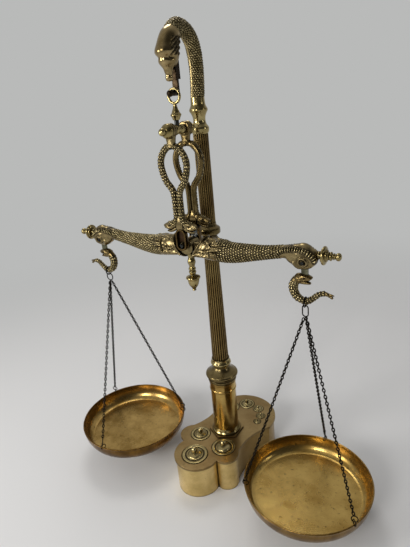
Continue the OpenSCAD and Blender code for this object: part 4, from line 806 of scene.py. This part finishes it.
def makeHead(neck, look):
    line, start = neckLine(neck)
    grid = sweptGrid(line[start:], neck["sides"])
    normals = gridNormals(grid)
    t = (grid[..., 2] - sizes["neckZ"]) / sizes["neckRise"]
    side = np.cos(around(neck["sides"]))[None, :]
    height = rise(side, -0.1, 0.5) * sum(lift * bell(t, at, reach)
                                         for at, reach, lift in (look["brow"], look["hollow"]))
    # Feathers on the cheek run up and back
    barb = grid[..., 2] - look["barbLean"] * sizes["headW"] / 2 * np.arccos(np.clip(side, -1, 1))
    wave = np.cos(2 * math.pi * barb / look["barbPitch"])
    cheek = 1
    for value, (a, b, c, d) in ((side, look["cheekSides"]), (t, look["cheekHeights"])):
        cheek = cheek * rise(value, a, b) * (1 - rise(value, c, d))
    height += cheek * look["barbHeight"] * wave
    height += 0.9 * bell(side, -0.6, 0.09) * rise(t, 0.42, 0.5)
    height += 0.8 * np.exp(-((side + 0.15) / 0.3) ** 2 - ((t - 0.6) / 0.07) ** 2)
    reach, lift = look["socket"]
    height += (lift * mark(grid[..., 0], t * 100, (look["eye"][0], look["eye"][1] * 100), reach)
               * rise(np.abs(normals[..., 1]), 0.4, 0.8))
    # Line of the beak's mouth
    height -= 0.6 * bell(side, 0.1, 0.08) * (1 - rise(t, 0.44, 0.48)) * rise(t, 0.35, 0.38)
    grid = grid + normals * height[..., None]
    # painted shade: the troughs between the cheek feathers take the dark ground brass
    shadedTroughs = (cheek > 0.4) & (wave < look["barbShade"])
    shells = [tubeShell(grid, np.where(shadedTroughs[:-1], 2, 0))]
    for way in (-1, 1):
        eye = surfacePoint(grid, look["eye"][0], sizes["neckZ"] + look["eye"][1] * sizes["neckRise"], way)
        shells.append(ballShell(eye - (0, 0.9 * way, 0), (look["eyeR"], 1.3, look["eyeR"] * 0.85), 1))
    piece = makeObject("birdHeadCasting", shells, ["castHeadBrass", "blackenedSteel", "tarnishedShadedGroundBrass"],
                       neckFrame[0])
    finishPiece(piece, "stand", "cast_brass", "bird_head")


makeNeck(neckLook, neckScales)
makeHead(neckLook, headLook)


# Shackle plates: two serpents that hang crossed from a strap and hold the bearing's cup

serpentLook = {"steps": 9, "sides": 36, "eye": 0.793, "eyeR": 1.7, "headZ": 0.765,
               "finish": {"front": "castFigureBrass", "rear": "castHookBrass"},
               # Leaves and marks of the head, placed by mm along and a share of the drop
               "chasing": [((6, 0.768), (15, 0.778), 1.3, 1.3), ((11.5, 0.79), (2.4, 1.9), -1.0),
                           ((8, 0.812), (20, 0.81), 1.1, 0.9), ((8.5, 0.785), (1, 0.755), 1.8, 0.9),
                           ((8.5, 0.80), (1.5, 0.79), 1.7, 0.9), ((19, 0.787), (1.0, 0.8), -0.7)],
               "ear": [(6, 0.775), (3, 0.742), (7, 0.75), (11, 0.756), (12, 0.768)],
               # The strap's outline, half of it: half width, mm below the pin
               "strap": [(5.3, 14), (5.9, 10), (7.4, 4)], "strapFoot": (5.6, 0.132)}
serpentScales = {"seed": 3, "length": 3.7, "width": 2.7, "thick": 1.6, "tilt": -0.3, "proud": -0.2,
                 "rowPitch": 4.1, "pitch": 3.5}
serpentS, serpentDrop = sizes["serpentD"] / 2, sizes["shackleDrop"]


# From mm along and a share of the shackle's drop to a place on the plate
def onPlate(x, share):
    return serpentS + x, pinZ - share * serpentDrop


def serpentKnots():
    s, x, d, p = serpentS, (sizes["shackleW"] - sizes["serpentD"]) / 2, serpentDrop, pinZ
    body = [(1.5, 0.122, 0.9, 0.8), (9, 0.132, 1, 1), (x - 2.4, 0.2, 1, 1), (x, 0.285, 1, 1), (x - 5, 0.4, 1, 1),
            (0.97 * s + 2.4, 0.475, 1, 1), (0.97 * s, 0.54, 1, 1), (0.97 * s, 0.66, 1, 1), (1.1 * s, 0.73, 1, 1),
            (s + 4.2, 0.768, 1.1, 1), (s + 9, 0.788, 1.42, 1.16), (s + 14, 0.797, 1.36, 1.1),
            (s + 19, 0.798, 0.95, 0.9), (s + 22.6, 0.795, 0.4, 0.45)]
    return [(a, p - share * d, s * high, s * wide) for a, share, high, wide in body]


def serpentJawKnots():
    jaw = [(2.6, 0.815, 2.6, 2.8), (8, 0.834, 2.3, 2.8), (13.4, 0.845, 1.9, 2.3), (17.6, 0.843, 1, 1.4)]
    return [onPlate(x, share) + (high, wide) for x, share, high, wide in jaw]


# Chases a head's flanks with leaves and marks, whose places at() finds
def chaseFlanks(grid, rows, at, low, high):
    normals = gridNormals(grid)
    rows = [(at(*row[0]), at(*row[1]), *row[2:]) if len(row) == 4 else (at(*row[0]), *row[1:]) for row in rows]
    height = rise(np.abs(normals[..., 1]), low, high) * chased(grid[..., 0], grid[..., 2], rows)
    return grid + normals * height[..., None]


def roundedBlock(x, low, high, y, soft):
    return plateShell([(-x, low), (-x, high), (x, high), (x, low)], -y, y, soft)


# Rim of the bearing's cup: a rounded bar bent round a stadium
def cupShell(finish):
    w, h, t, rim = sizes["housingW"], sizes["housingH"], sizes["housingT"], sizes["bearingRim"]
    r, straight = (w - rim) / 2, (h - w) / 2
    path = [(r * math.cos(turn), straight + r * math.sin(turn), math.cos(turn), math.sin(turn))
            for turn in np.linspace(0, math.pi, 17)]
    path += [(-x, -z, -nx, -nz) for x, z, nx, nz in path]
    section = [(0.5, 0.36), (0.36, 0.5), (-0.36, 0.5), (-0.5, 0.36), (-0.5, -0.36), (-0.36, -0.5), (0.36, -0.5),
               (0.5, -0.36)]
    return hoopShell(np.array([[(x + nx * u * rim, v * t, cupZ + z + nz * u * rim) for u, v in section]
                               for x, z, nx, nz in path]), finish)


def makeShacklePlate(side, look, scaleLook):
    s, d, p = serpentS, serpentDrop, pinZ
    headZ = p - look["headZ"] * d
    grid = sweptGrid(smoothKnots(serpentKnots(), look["steps"]), look["sides"])
    grid = chaseFlanks(grid, look["chasing"], onPlate, 0.1, 0.5)
    jaw = sweptGrid(smoothKnots(serpentJawKnots(), 5), 20)
    ground = groundFaces(grid, lambda q: (q[:, 2] > headZ) & (q[:, 1] < 1.5)) * 2
    shells, rows = [], []
    for flip in ((-1, 1, 1), (1, 1, 1)):
        mirrored = grid * np.array(flip)
        shells += [tubeShell(mirrored, ground), tubeShell(jaw * np.array(flip))]
        for way in (-1, 1):
            eye = surfacePoint(grid, s + 11.8, p - look["eye"] * d, way) * np.array(flip)
            shells.append(ballShell(eye, (look["eyeR"], 1.2, look["eyeR"]), 1, 12, 7))
        ear = [onPlate(x, share) for x, share in look["ear"]]
        shells.append(plateShell([(a * flip[0], z) for a, z in ear], -3.6, 3.6, 0.7))
        rows.append(scaleRows(mirrored, scaleLook, lambda q, n, share: (n[:, 1] < 0.3) & (q[:, 2] > headZ)))
    disc = sizes["domeD"] / 2
    edge = [(disc - 2.6, s), (disc - 0.7, s - 0.5), (disc, s - 1.8), (disc - 0.3, 0.4)]
    shells.append(turnedShell([(0.3, -s)] + [(r, -y) for r, y in edge] + [(disc - 1, 0)] + edge[::-1] + [(0.3, s)],
                              (0, 0, p), (0, 1, 0)))
    footX, footShare = look["strapFoot"]
    half = [(footX, p - footShare * d)] + [(x, p - low) for x, low in look["strap"]]
    shells += [plateShell([(-x, z) for x, z in half] + half[::-1], -3.2, 3.2, 0.8),
               roundedBlock(6.8, p - 0.128 * d, p - 0.108 * d, s + 0.1, 0.9),
               roundedBlock(5.5, cupZ + sizes["housingH"] / 2 - 1.6, p - 0.7 * d, 3.2, 1.1),
               cupShell(3)]
    # The cup's rim takes the dark cup brass as painted shade
    finishNames = [look["finish"][side], "blackenedSteel", "tarnishedShadedGroundBrass", "shadedCupBrass"]
    piece = makeObject(side + "SerpentPlate", shells, finishNames, plateFrames[side][0])
    finishPiece(piece, "shackle", "cast_brass", side + "_shackle_plate")
    rows = [np.concatenate(column) for column in zip(*rows)]
    layScales(side + "SerpentScales", rows, plateFrames[side], scaleLook, "shackle")


for side in ("front", "rear"):
    makeShacklePlate(side, serpentLook, serpentScales)


# Serpent hooks

hookLook = {
    # Knots: mm past the end pin, share of the drop, half height and half width; the body's are over the hook's
    "body": [(-3, 0.42, 0, 0), (-9.5, 0.45, 1.2, 1), (-14.2, 0.57, 1.7, 1.4), (-15.2, 0.74, 1.6, 1.2),
             (-10.6, 0.91, 1, 0.6), (-3, 0.99, 0, 0), (2.6, 1, 0, 0), (10.5, 0.9, -0.6, -0.6),
             (17, 0.79, -0.9, -0.9), (23, 0.745, -1, -1), (28, 0.755, -1.5, -1.4), (30.5, 0.77, -2.4, -2)],
    "snout": [(-13, 0.45, 3, 4), (-9, 0.43, 6, 5.6), (-3, 0.41, 5.6, 6.2), (3, 0.4, 4.2, 5.2),
              (7.6, 0.405, 2.6, 4), (9, 0.42, 1.2, 2.6)],
    "jaw": [(-9, 0.5, 3.4, 4.6), (-2, 0.52, 2.8, 4.2), (4, 0.53, 2, 3.2), (7.4, 0.54, 1.2, 2.2)],
    "upperProng": [(28, 0.75, 1.7, 1.5), (32, 0.755, 1.4, 1.3), (35.4, 0.765, 0.9, 0.9), (36.6, 0.77, 0.3, 0.3)],
    "lowerProng": [(28, 0.77, 1.6, 1.5), (31.5, 0.8, 1.5, 1.4), (34, 0.825, 1.7, 1.5), (35.2, 0.835, 0.8, 0.8)],
    # Chasing on the head: lips, brow and the folds behind the cheek
    "chasing": [((-4, 0.36), (5, 0.375), 1.2, 1.1), ((0.5, 0.4), (2.3, 1.8), -0.9),
                ((-3, 0.43), (-12, 0.4), 2.0, 0.8), ((-3, 0.47), (-12.5, 0.48), 1.9, 0.8),
                ((-1, 0.46), (8, 0.44), 0.9, 0.7)],
    "eye": (0.6, 0.395), "scalesFrom": 0.5, "scalesTo": 26}
hookScales = {"seed": 9, "length": 3.8, "width": 2.8, "thick": 1.4, "tilt": -0.26, "proud": -0.15,
              "rowPitch": 3.8, "pitch": 3.3}


# From mm past the end pin and a share of the hook's drop to a place on the hook
def onHook(x, share):
    return armL + x, pivotZ - share * sizes["hookDrop"]


def makeHook(side, look, scaleLook):
    body = side + "_hook_set"

    def tube(part, steps, sides, half=0):
        return sweptGrid(smoothKnots([onHook(x, share) + (half + high, half + wide)
                                      for x, share, high, wide in look[part]], steps), sides)

    def scaled(q, *rest):
        end, low = onHook(look["scalesTo"], look["scalesFrom"])
        return (q[:, 2] < low) & (q[:, 0] < end)

    grid = tube("body", 9, 36, sizes["hookD"] / 2)
    snout = chaseFlanks(tube("snout", 8, 40), look["chasing"], onHook, 0.15, 0.6)
    shells = [tubeShell(grid, groundFaces(grid, scaled) * 2), tubeShell(snout), tubeShell(tube("jaw", 6, 28))]
    shells += [tubeShell(tube(prong, 4, 14)) for prong in ("upperProng", "lowerProng")]
    for way in (-1, 1):
        shells.append(ballShell(surfacePoint(snout, *onHook(*look["eye"]), way), (1.5, 1.1, 1.4), 1, 12, 7))
    piece = makeObject(side + "SerpentHook", shells, ["castHookBrass", "blackenedSteel", "tarnishedShadedGroundBrass"],
                       sideFrames[side][0])
    finishPiece(piece, body, "cast_brass", side + "_hook")
    layScales(side + "HookScales", scaleRows(grid, scaleLook, scaled), sideFrames[side], scaleLook, body)


for side in ("right", "left"):
    makeHook(side, hookLook, hookScales)


# Chains of bent wire links

chainLook = {"pitch": 4.5, "length": 7.2, "width": 4.9, "wire": 1.65, "seed": 4,
             "rimRing": 4.3, "endRing": 4.3, "ringWire": 1.5, "rimTurn": -0.35, "endTurn": 0.9, "inward": 1.5,
             # Each pan: side, turn of its first chain in degrees, height of the chains' top
             "pans": {"left": (-1, 35, 340.7), "right": (1, 92, 337.1)}}


# The outward direction, top and foot of each of a pan's three chains
def chainLines(side, look):
    sign, firstTurn, topZ = look["pans"][side]
    middle = np.array((sign * armL, beamY, 0))
    for k in range(3):
        turn = math.radians(firstTurn + 120 * k)
        out = np.array((math.cos(turn), math.sin(turn), 0))
        yield (out, middle + out * (0.72 * sizes["chainD"]) + (0, 0, topZ),
               middle + out * sizes["loopR"] + (0, 0, sizes["chainEndZ"]))


def makeChains(side, look):
    rng = np.random.default_rng(look["seed"])
    points, ahead, upward = [], [], []
    for out, top, low in chainLines(side, look):
        way = (low - top) / np.linalg.norm(low - top)
        reach = np.linalg.norm(low - way * 2 * look["endRing"] - top)
        across = np.cross(way, out)
        across /= np.linalg.norm(across)
        other = np.cross(way, across)
        count = int(round((reach - look["length"]) / look["pitch"])) + 1
        for i, place in enumerate(np.linspace(look["length"] / 2, reach - look["length"] / 2, count)):
            twist = math.radians(45 + 90 * (i % 2)) + rng.uniform(-0.12, 0.12)
            points.append(top + way * place)
            ahead.append(way)
            upward.append(math.cos(twist) * across + math.sin(twist) * other)
    turns = facingTurns(np.array(ahead), np.array(upward))
    piece = layShapes(side + "ChainLinks", linkTree, [look["length"], look["width"], look["wire"]],
                      "oxidisedChainWire", np.array(points), turns, np.ones((len(points), 3)))
    finishPiece(piece, side + "_pan_set", "chain_steel", side + "_chains")


# A closed wire ring in the plane of two directions
def ringShell(centre, sideA, sideB, radius, wire):
    turn, bend = around(28), around(8)
    spoke = np.outer(np.cos(turn), sideA) + np.outer(np.sin(turn), sideB)
    return hoopShell(np.array(centre) + spoke[:, None] * (radius + wire / 2 * np.cos(bend))[None, :, None]
                     + np.cross(sideA, sideB) * (wire / 2 * np.sin(bend))[None, :, None])


# Two rings at each chain's foot: one through the pan's rim, one from it to the chain
def makeEndRings(side, look):
    shells, up = [], np.array((0, 0, 1.0))
    for out, top, low in chainLines(side, look):
        sideways = np.cross(up, out)
        way = (top - low) / np.linalg.norm(top - low)
        rimSide = out * math.cos(look["rimTurn"]) + sideways * math.sin(look["rimTurn"])
        endSide = sideways * math.cos(look["endTurn"]) + out * math.sin(look["endTurn"])
        endSide -= way * endSide.dot(way)
        endSide /= np.linalg.norm(endSide)
        centre = low - look["inward"] * out + up * (look["wire"] - look["rimRing"])
        shells += [ringShell(centre, rimSide, up, look["rimRing"], look["ringWire"]),
                   ringShell(low + way * look["endRing"], endSide, way, look["endRing"], look["ringWire"])]
    piece = makeObject(side + "PanRings", shells, ["oxidisedChainWire"])
    finishPiece(piece, side + "_pan_set", "chain_steel", side + "_pan_loops")


for makePart in (makeChains, makeEndRings):
    for side in ("left", "right"):
        makePart(side, chainLook)


# Turned fittings: the barrel on the shackle's pin and the finials at the beam's ends

# The barrel's profile is one half of it, from the middle. Rows are [radius, distance].
turnedLook = {"barrel": [(4.8, 2.4), (6.0, 3.8), (6.6, 5.6), (6.3, 7.2), (5.2, 8.8), (4.4, 10), (4.9, 10.6),
                         (4.6, 11.2), (0.4, 11.2)],
              "finial": [(0.4, 0), (3.8, 0), (4.8, 0.9), (4.8, 2.2), (3.6, 3.0), (4.8, 3.8), (8.4, 4.5),
                         (9.0, 5.6), (11.3, 6.5), (11.5, 7.9), (10.6, 9.1), (7.7, 9.8), (7.4, 11),
                         (5.3, 12.2), (4.9, 13.4), (4.1, 14.2), (5.4, 15), (5.4, 16.3), (3.8, 17.2),
                         (3.4, 18.4), (4.3, 19.3), (3.2, 20.3), (3.4, 21.4), (4.5, 22.7), (4.9, 24.3),
                         (4.4, 26.2), (2.5, 27.5), (0.4, 28)],
              "finialRise": 4.3}


def makeTurned(name, node, body, finish, profile, origin, axis):
    piece = makeObject(name, [turnedShell(profile, origin, axis)], [finish], None, 35)
    finishPiece(piece, body, "turned_brass", node)


barrel = [(r, -y) for r, y in turnedLook["barrel"][::-1]] + [(4.5, 0)] + turnedLook["barrel"]
makeTurned("beadedSwivelBarrel", "swivel_barrel", "swivel", "turnedMouldingBrass", barrel,
           (0, beamY, pinZ), (0, 1, 0))
for side, sign in (("left", -1), ("right", 1)):
    makeTurned(side + "TurnedFinial", side + "_finial", "beam", "polishedFinialBrass", turnedLook["finial"],
               (sign * sizes["finialX"], beamY, knifeZ + turnedLook["finialRise"]), (sign, 0, 0))


# A node's box in mm
def nodeBox(name):
    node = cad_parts[name]
    corners = np.array([node.matrix_world @ Vector(corner) for corner in node.bound_box]) / mm
    return corners.min(axis=0), corners.max(axis=0)


# A shell turned round a vertical line, whose marked steps of the profile take the second finish
def uprightShell(profile, x, y, sides, second):
    radius = np.maximum(profile[:, 0:1], 0.02)
    grid = np.stack([x + radius * np.cos(around(sides)), y + radius * np.sin(around(sides)),
                     profile[:, 1:2] + np.zeros((1, sides))], axis=2)
    return tubeShell(grid, np.repeat(second.astype(int)[:, None], sides, axis=1))


# Weights: discs with a groove darkened as dirt and painted shade, and a ball knob on a flared foot
# Lengths are shares of the disc's width, or of its radius where the name ends in R
weightLook = {"knobRise": 0.34, "ball": 0.128, "grooveR": (0.66, 0.76), "grooveDepth": 0.8, "lipR": 0.93,
              "dirtAndShadeR": (0.63, 0.79), "dirtAndShadeDepth": (0.15, 2), "sides": 56,
              "footR": [(0.56, 0), (0.52, 0.02), (0.46, 0.045), (0.36, 0.07), (0.24, 0.092), (0.16, 0.115),
                        (0.12, 0.14)]}


def makeWeight(name, look):
    low, high = nodeBox(name)
    d = high[0] - low[0]
    r = d / 2
    disc = high[2] - low[2] - look["knobRise"] * d
    ball = look["ball"] * d
    inner, outer = look["grooveR"]
    deep = disc - look["grooveDepth"]
    knots = [(0.3, 0), (r - 0.6, 0), (r - 0.1, 0.5), (r - 0.1, disc - 0.9), (r - 0.5, disc - 0.2),
             (r * look["lipR"], disc), (r * (outer + 0.02), disc), (r * outer, deep), (r * inner, deep),
             (r * (inner - 0.02), disc)]
    knots += [(share * r, disc + height * d) for share, height in look["footR"]]
    knots += [(ball * math.cos(t), high[2] - low[2] - ball + ball * math.sin(t))
              for t in np.radians((-62, -40, -15, 10, 35, 60, 80, 89))]
    profile = smoothKnots(knots, 3)
    middle = (profile[1:] + profile[:-1]) / 2
    shallow, bottom = look["dirtAndShadeDepth"]
    near, far = look["dirtAndShadeR"]
    # dirt and painted shade: a ring inside the groove takes the dark ground brass
    dirty = ((middle[:, 1] < disc - shallow) & (middle[:, 1] > disc - bottom)
             & (middle[:, 0] > near * r) & (middle[:, 0] < far * r))
    profile[:, 1] += low[2]
    shell = uprightShell(profile, (low[0] + high[0]) / 2, (low[1] + high[1]) / 2, look["sides"], dirty)
    piece = makeObject("turned" + name.title().replace("_", ""), [shell],
                       ["handledWeightBrass", "tarnishedShadedGroundBrass"], None, 40)
    finishPiece(piece, name, "weight_brass", name)


for number in range(1, 9):
    makeWeight("weight_%d" % number, weightLook)


# Spun pans: a flat floor, a curved wall and a rolled rim, polished inside alone; the outside finish also covers
# most of the rim as a painted shadow line
panLook = {"radius": 94.0, "drop": 343.0, "depth": 28.0, "wall": 16.0, "sheet": 1.2, "rim": 2.4, "steps": 16,
           "sides": 160, "floorShares": [0.0, 0.2, 0.4, 0.6, 0.8, 0.92]}


def makePan(side, sign, look):
    rimZ = pivotZ - look["drop"]
    half, bead = look["sheet"] / 2, look["rim"] / 2
    low = rimZ - look["depth"]
    floorR = look["radius"] - bead - look["wall"]
    wallH = look["depth"] - bead
    turns = np.linspace(0, math.radians(86), look["steps"])
    shares = look["floorShares"]
    inside = [(share * floorR, low + look["sheet"]) for share in shares]
    inside += [(floorR + (look["wall"] - half) * math.sin(t),
                low + look["sheet"] + (wallH - look["sheet"]) * (1 - math.cos(t))) for t in turns]
    outside = [(floorR + (look["wall"] + half) * math.sin(t), low + wallH * (1 - math.cos(t)))
               for t in turns[::-1]]
    outside += [(share * floorR, low) for share in shares[::-1]]
    roll = [(look["radius"] - bead + bead * math.cos(t), rimZ - bead + bead * math.sin(t))
            for t in np.radians(np.linspace(215, -35, 13))]
    profile = np.array(inside + roll + outside)
    # painted shadow: most of the rolled rim takes the outside's brown finish, along with the outside itself
    second = np.arange(len(profile) - 1) >= len(inside) + 1
    shell = uprightShell(profile, sign * armL, beamY, look["sides"], second)
    finishNames = [word + side.title() + "PanBrass" for word in ("spun", "browned")]
    piece = makeObject(side + "SpunPan", [shell], finishNames)
    finishPiece(piece, side + "_pan_set", "pan_brass", side + "_pan")


makePan("left", -1, panLook)
makePan("right", 1, panLook)


# Reeded shafts: round reeds in a lighter finish, grooves in a dark one. Radii are at foot and top.
shaftLook = {"reeds": 22, "depth": 1.2, "steps": 8, "rings": 10,
             "lower": {"dark": 0.72, "radii": (13.5, 10.9)}, "upper": {"dark": 0.54, "radii": (10.8, 10.7)}}


def makeShaft(part, look):
    low, high = nodeBox(part + "_shaft")
    turn = around(look["reeds"] * look["steps"])
    wave = np.abs(np.sin(turn * look["reeds"] / 2))
    height = np.linspace(low[2], high[2], look["rings"])
    radius = (np.linspace(*look[part]["radii"], look["rings"])[:, None]
              - look["depth"] * (1 - wave ** 0.8)[None, :])
    grid = np.stack([radius * np.cos(turn), radius * np.sin(turn), height[:, None] + 0 * radius], axis=2)
    dark = ((wave + np.roll(wave, -1)) / 2 < look[part]["dark"]).astype(int)
    shell = tubeShell(grid, np.repeat(dark[None, :], look["rings"] - 1, axis=0))
    piece = makeObject(part + "ReededShaft", [shell], ["reededShaftBrass", "umberFluteBrass"], None, 70)
    finishPiece(piece, "stand", "column_brass", part + "_shaft")


makeShaft("lower", shaftLook)
makeShaft("upper", shaftLook)
print("castings, chains and turned fittings made")


# Camera, floor and light

cameraPlace = {"position": (354.97, -545.99, 606.78), "yaw": 0.59538, "pitch": 0.36743, "roll": -0.09570,
               "lens": 29.82, "sensor": 36.0}


def addCamera(look):
    yaw, pitch, roll = look["yaw"], look["pitch"], look["roll"]
    ahead = Vector((-math.sin(yaw) * math.cos(pitch), math.cos(yaw) * math.cos(pitch), -math.sin(pitch)))
    level = Vector((math.cos(yaw), math.sin(yaw), 0))
    upright = level.cross(ahead)
    right = math.cos(roll) * level + math.sin(roll) * upright
    up = -math.sin(roll) * level + math.cos(roll) * upright
    camera = bpy.data.objects.new("camera", bpy.data.cameras.new("camera"))
    camera.data.sensor_fit = "VERTICAL"
    camera.data.sensor_height, camera.data.lens = look["sensor"], look["lens"]
    camera.data.clip_start, camera.data.clip_end = 0.02, 60
    turn = Matrix((right, up, -ahead)).transposed().to_4x4()
    camera.matrix_world = Matrix.Translation(Vector(look["position"]) * mm) @ turn
    bpy.context.collection.objects.link(camera)
    bpy.context.scene.camera = camera


roomLook = {"paper": "#b9bab9", "floorColour": "#e4e4e4", "fadeFrom": 0.45, "fadeTo": 1.5, "floorRadius": 12.0,
            "sky": 0.5, "wall": 0.42, "shade": 0.12, "darkSide": (0.95, -0.3, 0.0)}


# A round sheet of pale paper that fades into the backdrop colour away from the balance
def addFloor(look):
    work = bmesh.new()
    bmesh.ops.create_circle(work, cap_ends=True, segments=96, radius=look["floorRadius"])
    mesh = bpy.data.meshes.new("paperFloor")
    work.to_mesh(mesh)
    work.free()
    floor = bpy.data.objects.new("paperFloor", mesh)
    bpy.context.collection.objects.link(floor)
    material = bpy.data.materials.new("mattePaper")
    growTree(emptyTree(material), [
        ("place", "ShaderNodeTexCoord", {}),
        ("reach", "ShaderNodeVectorMath", {"operation": "LENGTH", 0: "@place.Object"}),
        ("fade", "ShaderNodeMapRange", {"interpolation_type": "SMOOTHSTEP", "Value": "@reach.Value",
                                        "From Min": look["fadeFrom"], "From Max": look["fadeTo"]}),
        ("paper", "ShaderNodeBsdfPrincipled", {"Base Color": linear(look["floorColour"]), "Roughness": 0.8}),
        ("glow", "ShaderNodeEmission", {"Color": linear(look["paper"]), "Strength": 1.0}),
        ("mix", "ShaderNodeMixShader", {0: "@fade.Result", 1: "@paper.BSDF", 2: "@glow.Emission"}),
        ("end", "ShaderNodeOutputMaterial", {"Surface": "@mix.Shader"})])
    mesh.materials.append(material)


# The room that the metal mirrors: pale above and behind, darker towards the viewer's side
def addRoom(look):
    world = bpy.context.scene.world = bpy.data.worlds.new("room")
    growTree(emptyTree(world), [
        ("place", "ShaderNodeTexCoord", {}),
        ("split", "ShaderNodeSeparateXYZ", {0: "@place.Generated"}),
        ("height", "ShaderNodeMapRange",
         {"interpolation_type": "SMOOTHSTEP", "Value": "@split.Z", "From Min": 0.1, "From Max": 0.8,
          "To Min": look["wall"], "To Max": look["sky"]}),
        ("side", "ShaderNodeVectorMath",
         {"operation": "DOT_PRODUCT", 0: "@place.Generated", 1: look["darkSide"]}),
        ("dusk", "ShaderNodeMapRange",
         {"interpolation_type": "SMOOTHSTEP", "Value": "@side.Value", "From Min": -0.1, "From Max": 0.7,
          "To Min": 1.0, "To Max": look["shade"]}),
        ("level", "ShaderNodeMath", {"operation": "MULTIPLY", 0: "@height.Result", 1: "@dusk.Result"}),
        ("mirrored", "ShaderNodeBackground", {"Color": (1, 0.995, 0.985, 1), "Strength": "@level"}),
        ("seen", "ShaderNodeBackground", {"Color": linear(look["paper"]), "Strength": 1.0}),
        ("ray", "ShaderNodeLightPath", {}),
        ("mix", "ShaderNodeMixShader",
         {0: "@ray.Is Camera Ray", 1: "@mirrored.Background", 2: "@seen.Background"}),
        ("end", "ShaderNodeOutputWorld", {"Surface": "@mix.Shader"})])


# Place, aim, size and watts of each lamp
lampLooks = {"leftWindow": ((-1000, -1350, 750), (0, -40, 300), 0.5, 11.0),
             "frontWindow": ((60, -1700, 1150), (0, -40, 250), 0.46, 10.5),
             "ceilingPanel": ((-500, 500, 1700), (0, -40, 200), 0.55, 5.0),
             "rightLamp": ((1500, 300, 900), (0, -40, 250), 0.25, 0.9)}


def addLamp(name, at, aim, size, watts):
    lamp = bpy.data.objects.new(name, bpy.data.lights.new(name, "AREA"))
    lamp.data.size, lamp.data.energy, lamp.data.color = size, watts, (1.0, 0.985, 0.965)
    at, aim = Vector(at) * mm, Vector(aim) * mm
    lamp.matrix_world = Matrix.Translation(at) @ (aim - at).to_track_quat("-Z", "Y").to_matrix().to_4x4()
    bpy.context.collection.objects.link(lamp)


addCamera(cameraPlace)
addFloor(roomLook)
addRoom(roomLook)
for lampName, lampLook in lampLooks.items():
    addLamp(lampName, *lampLook)
bpy.context.scene.view_settings.view_transform = "Standard"
print("camera, floor and light placed")
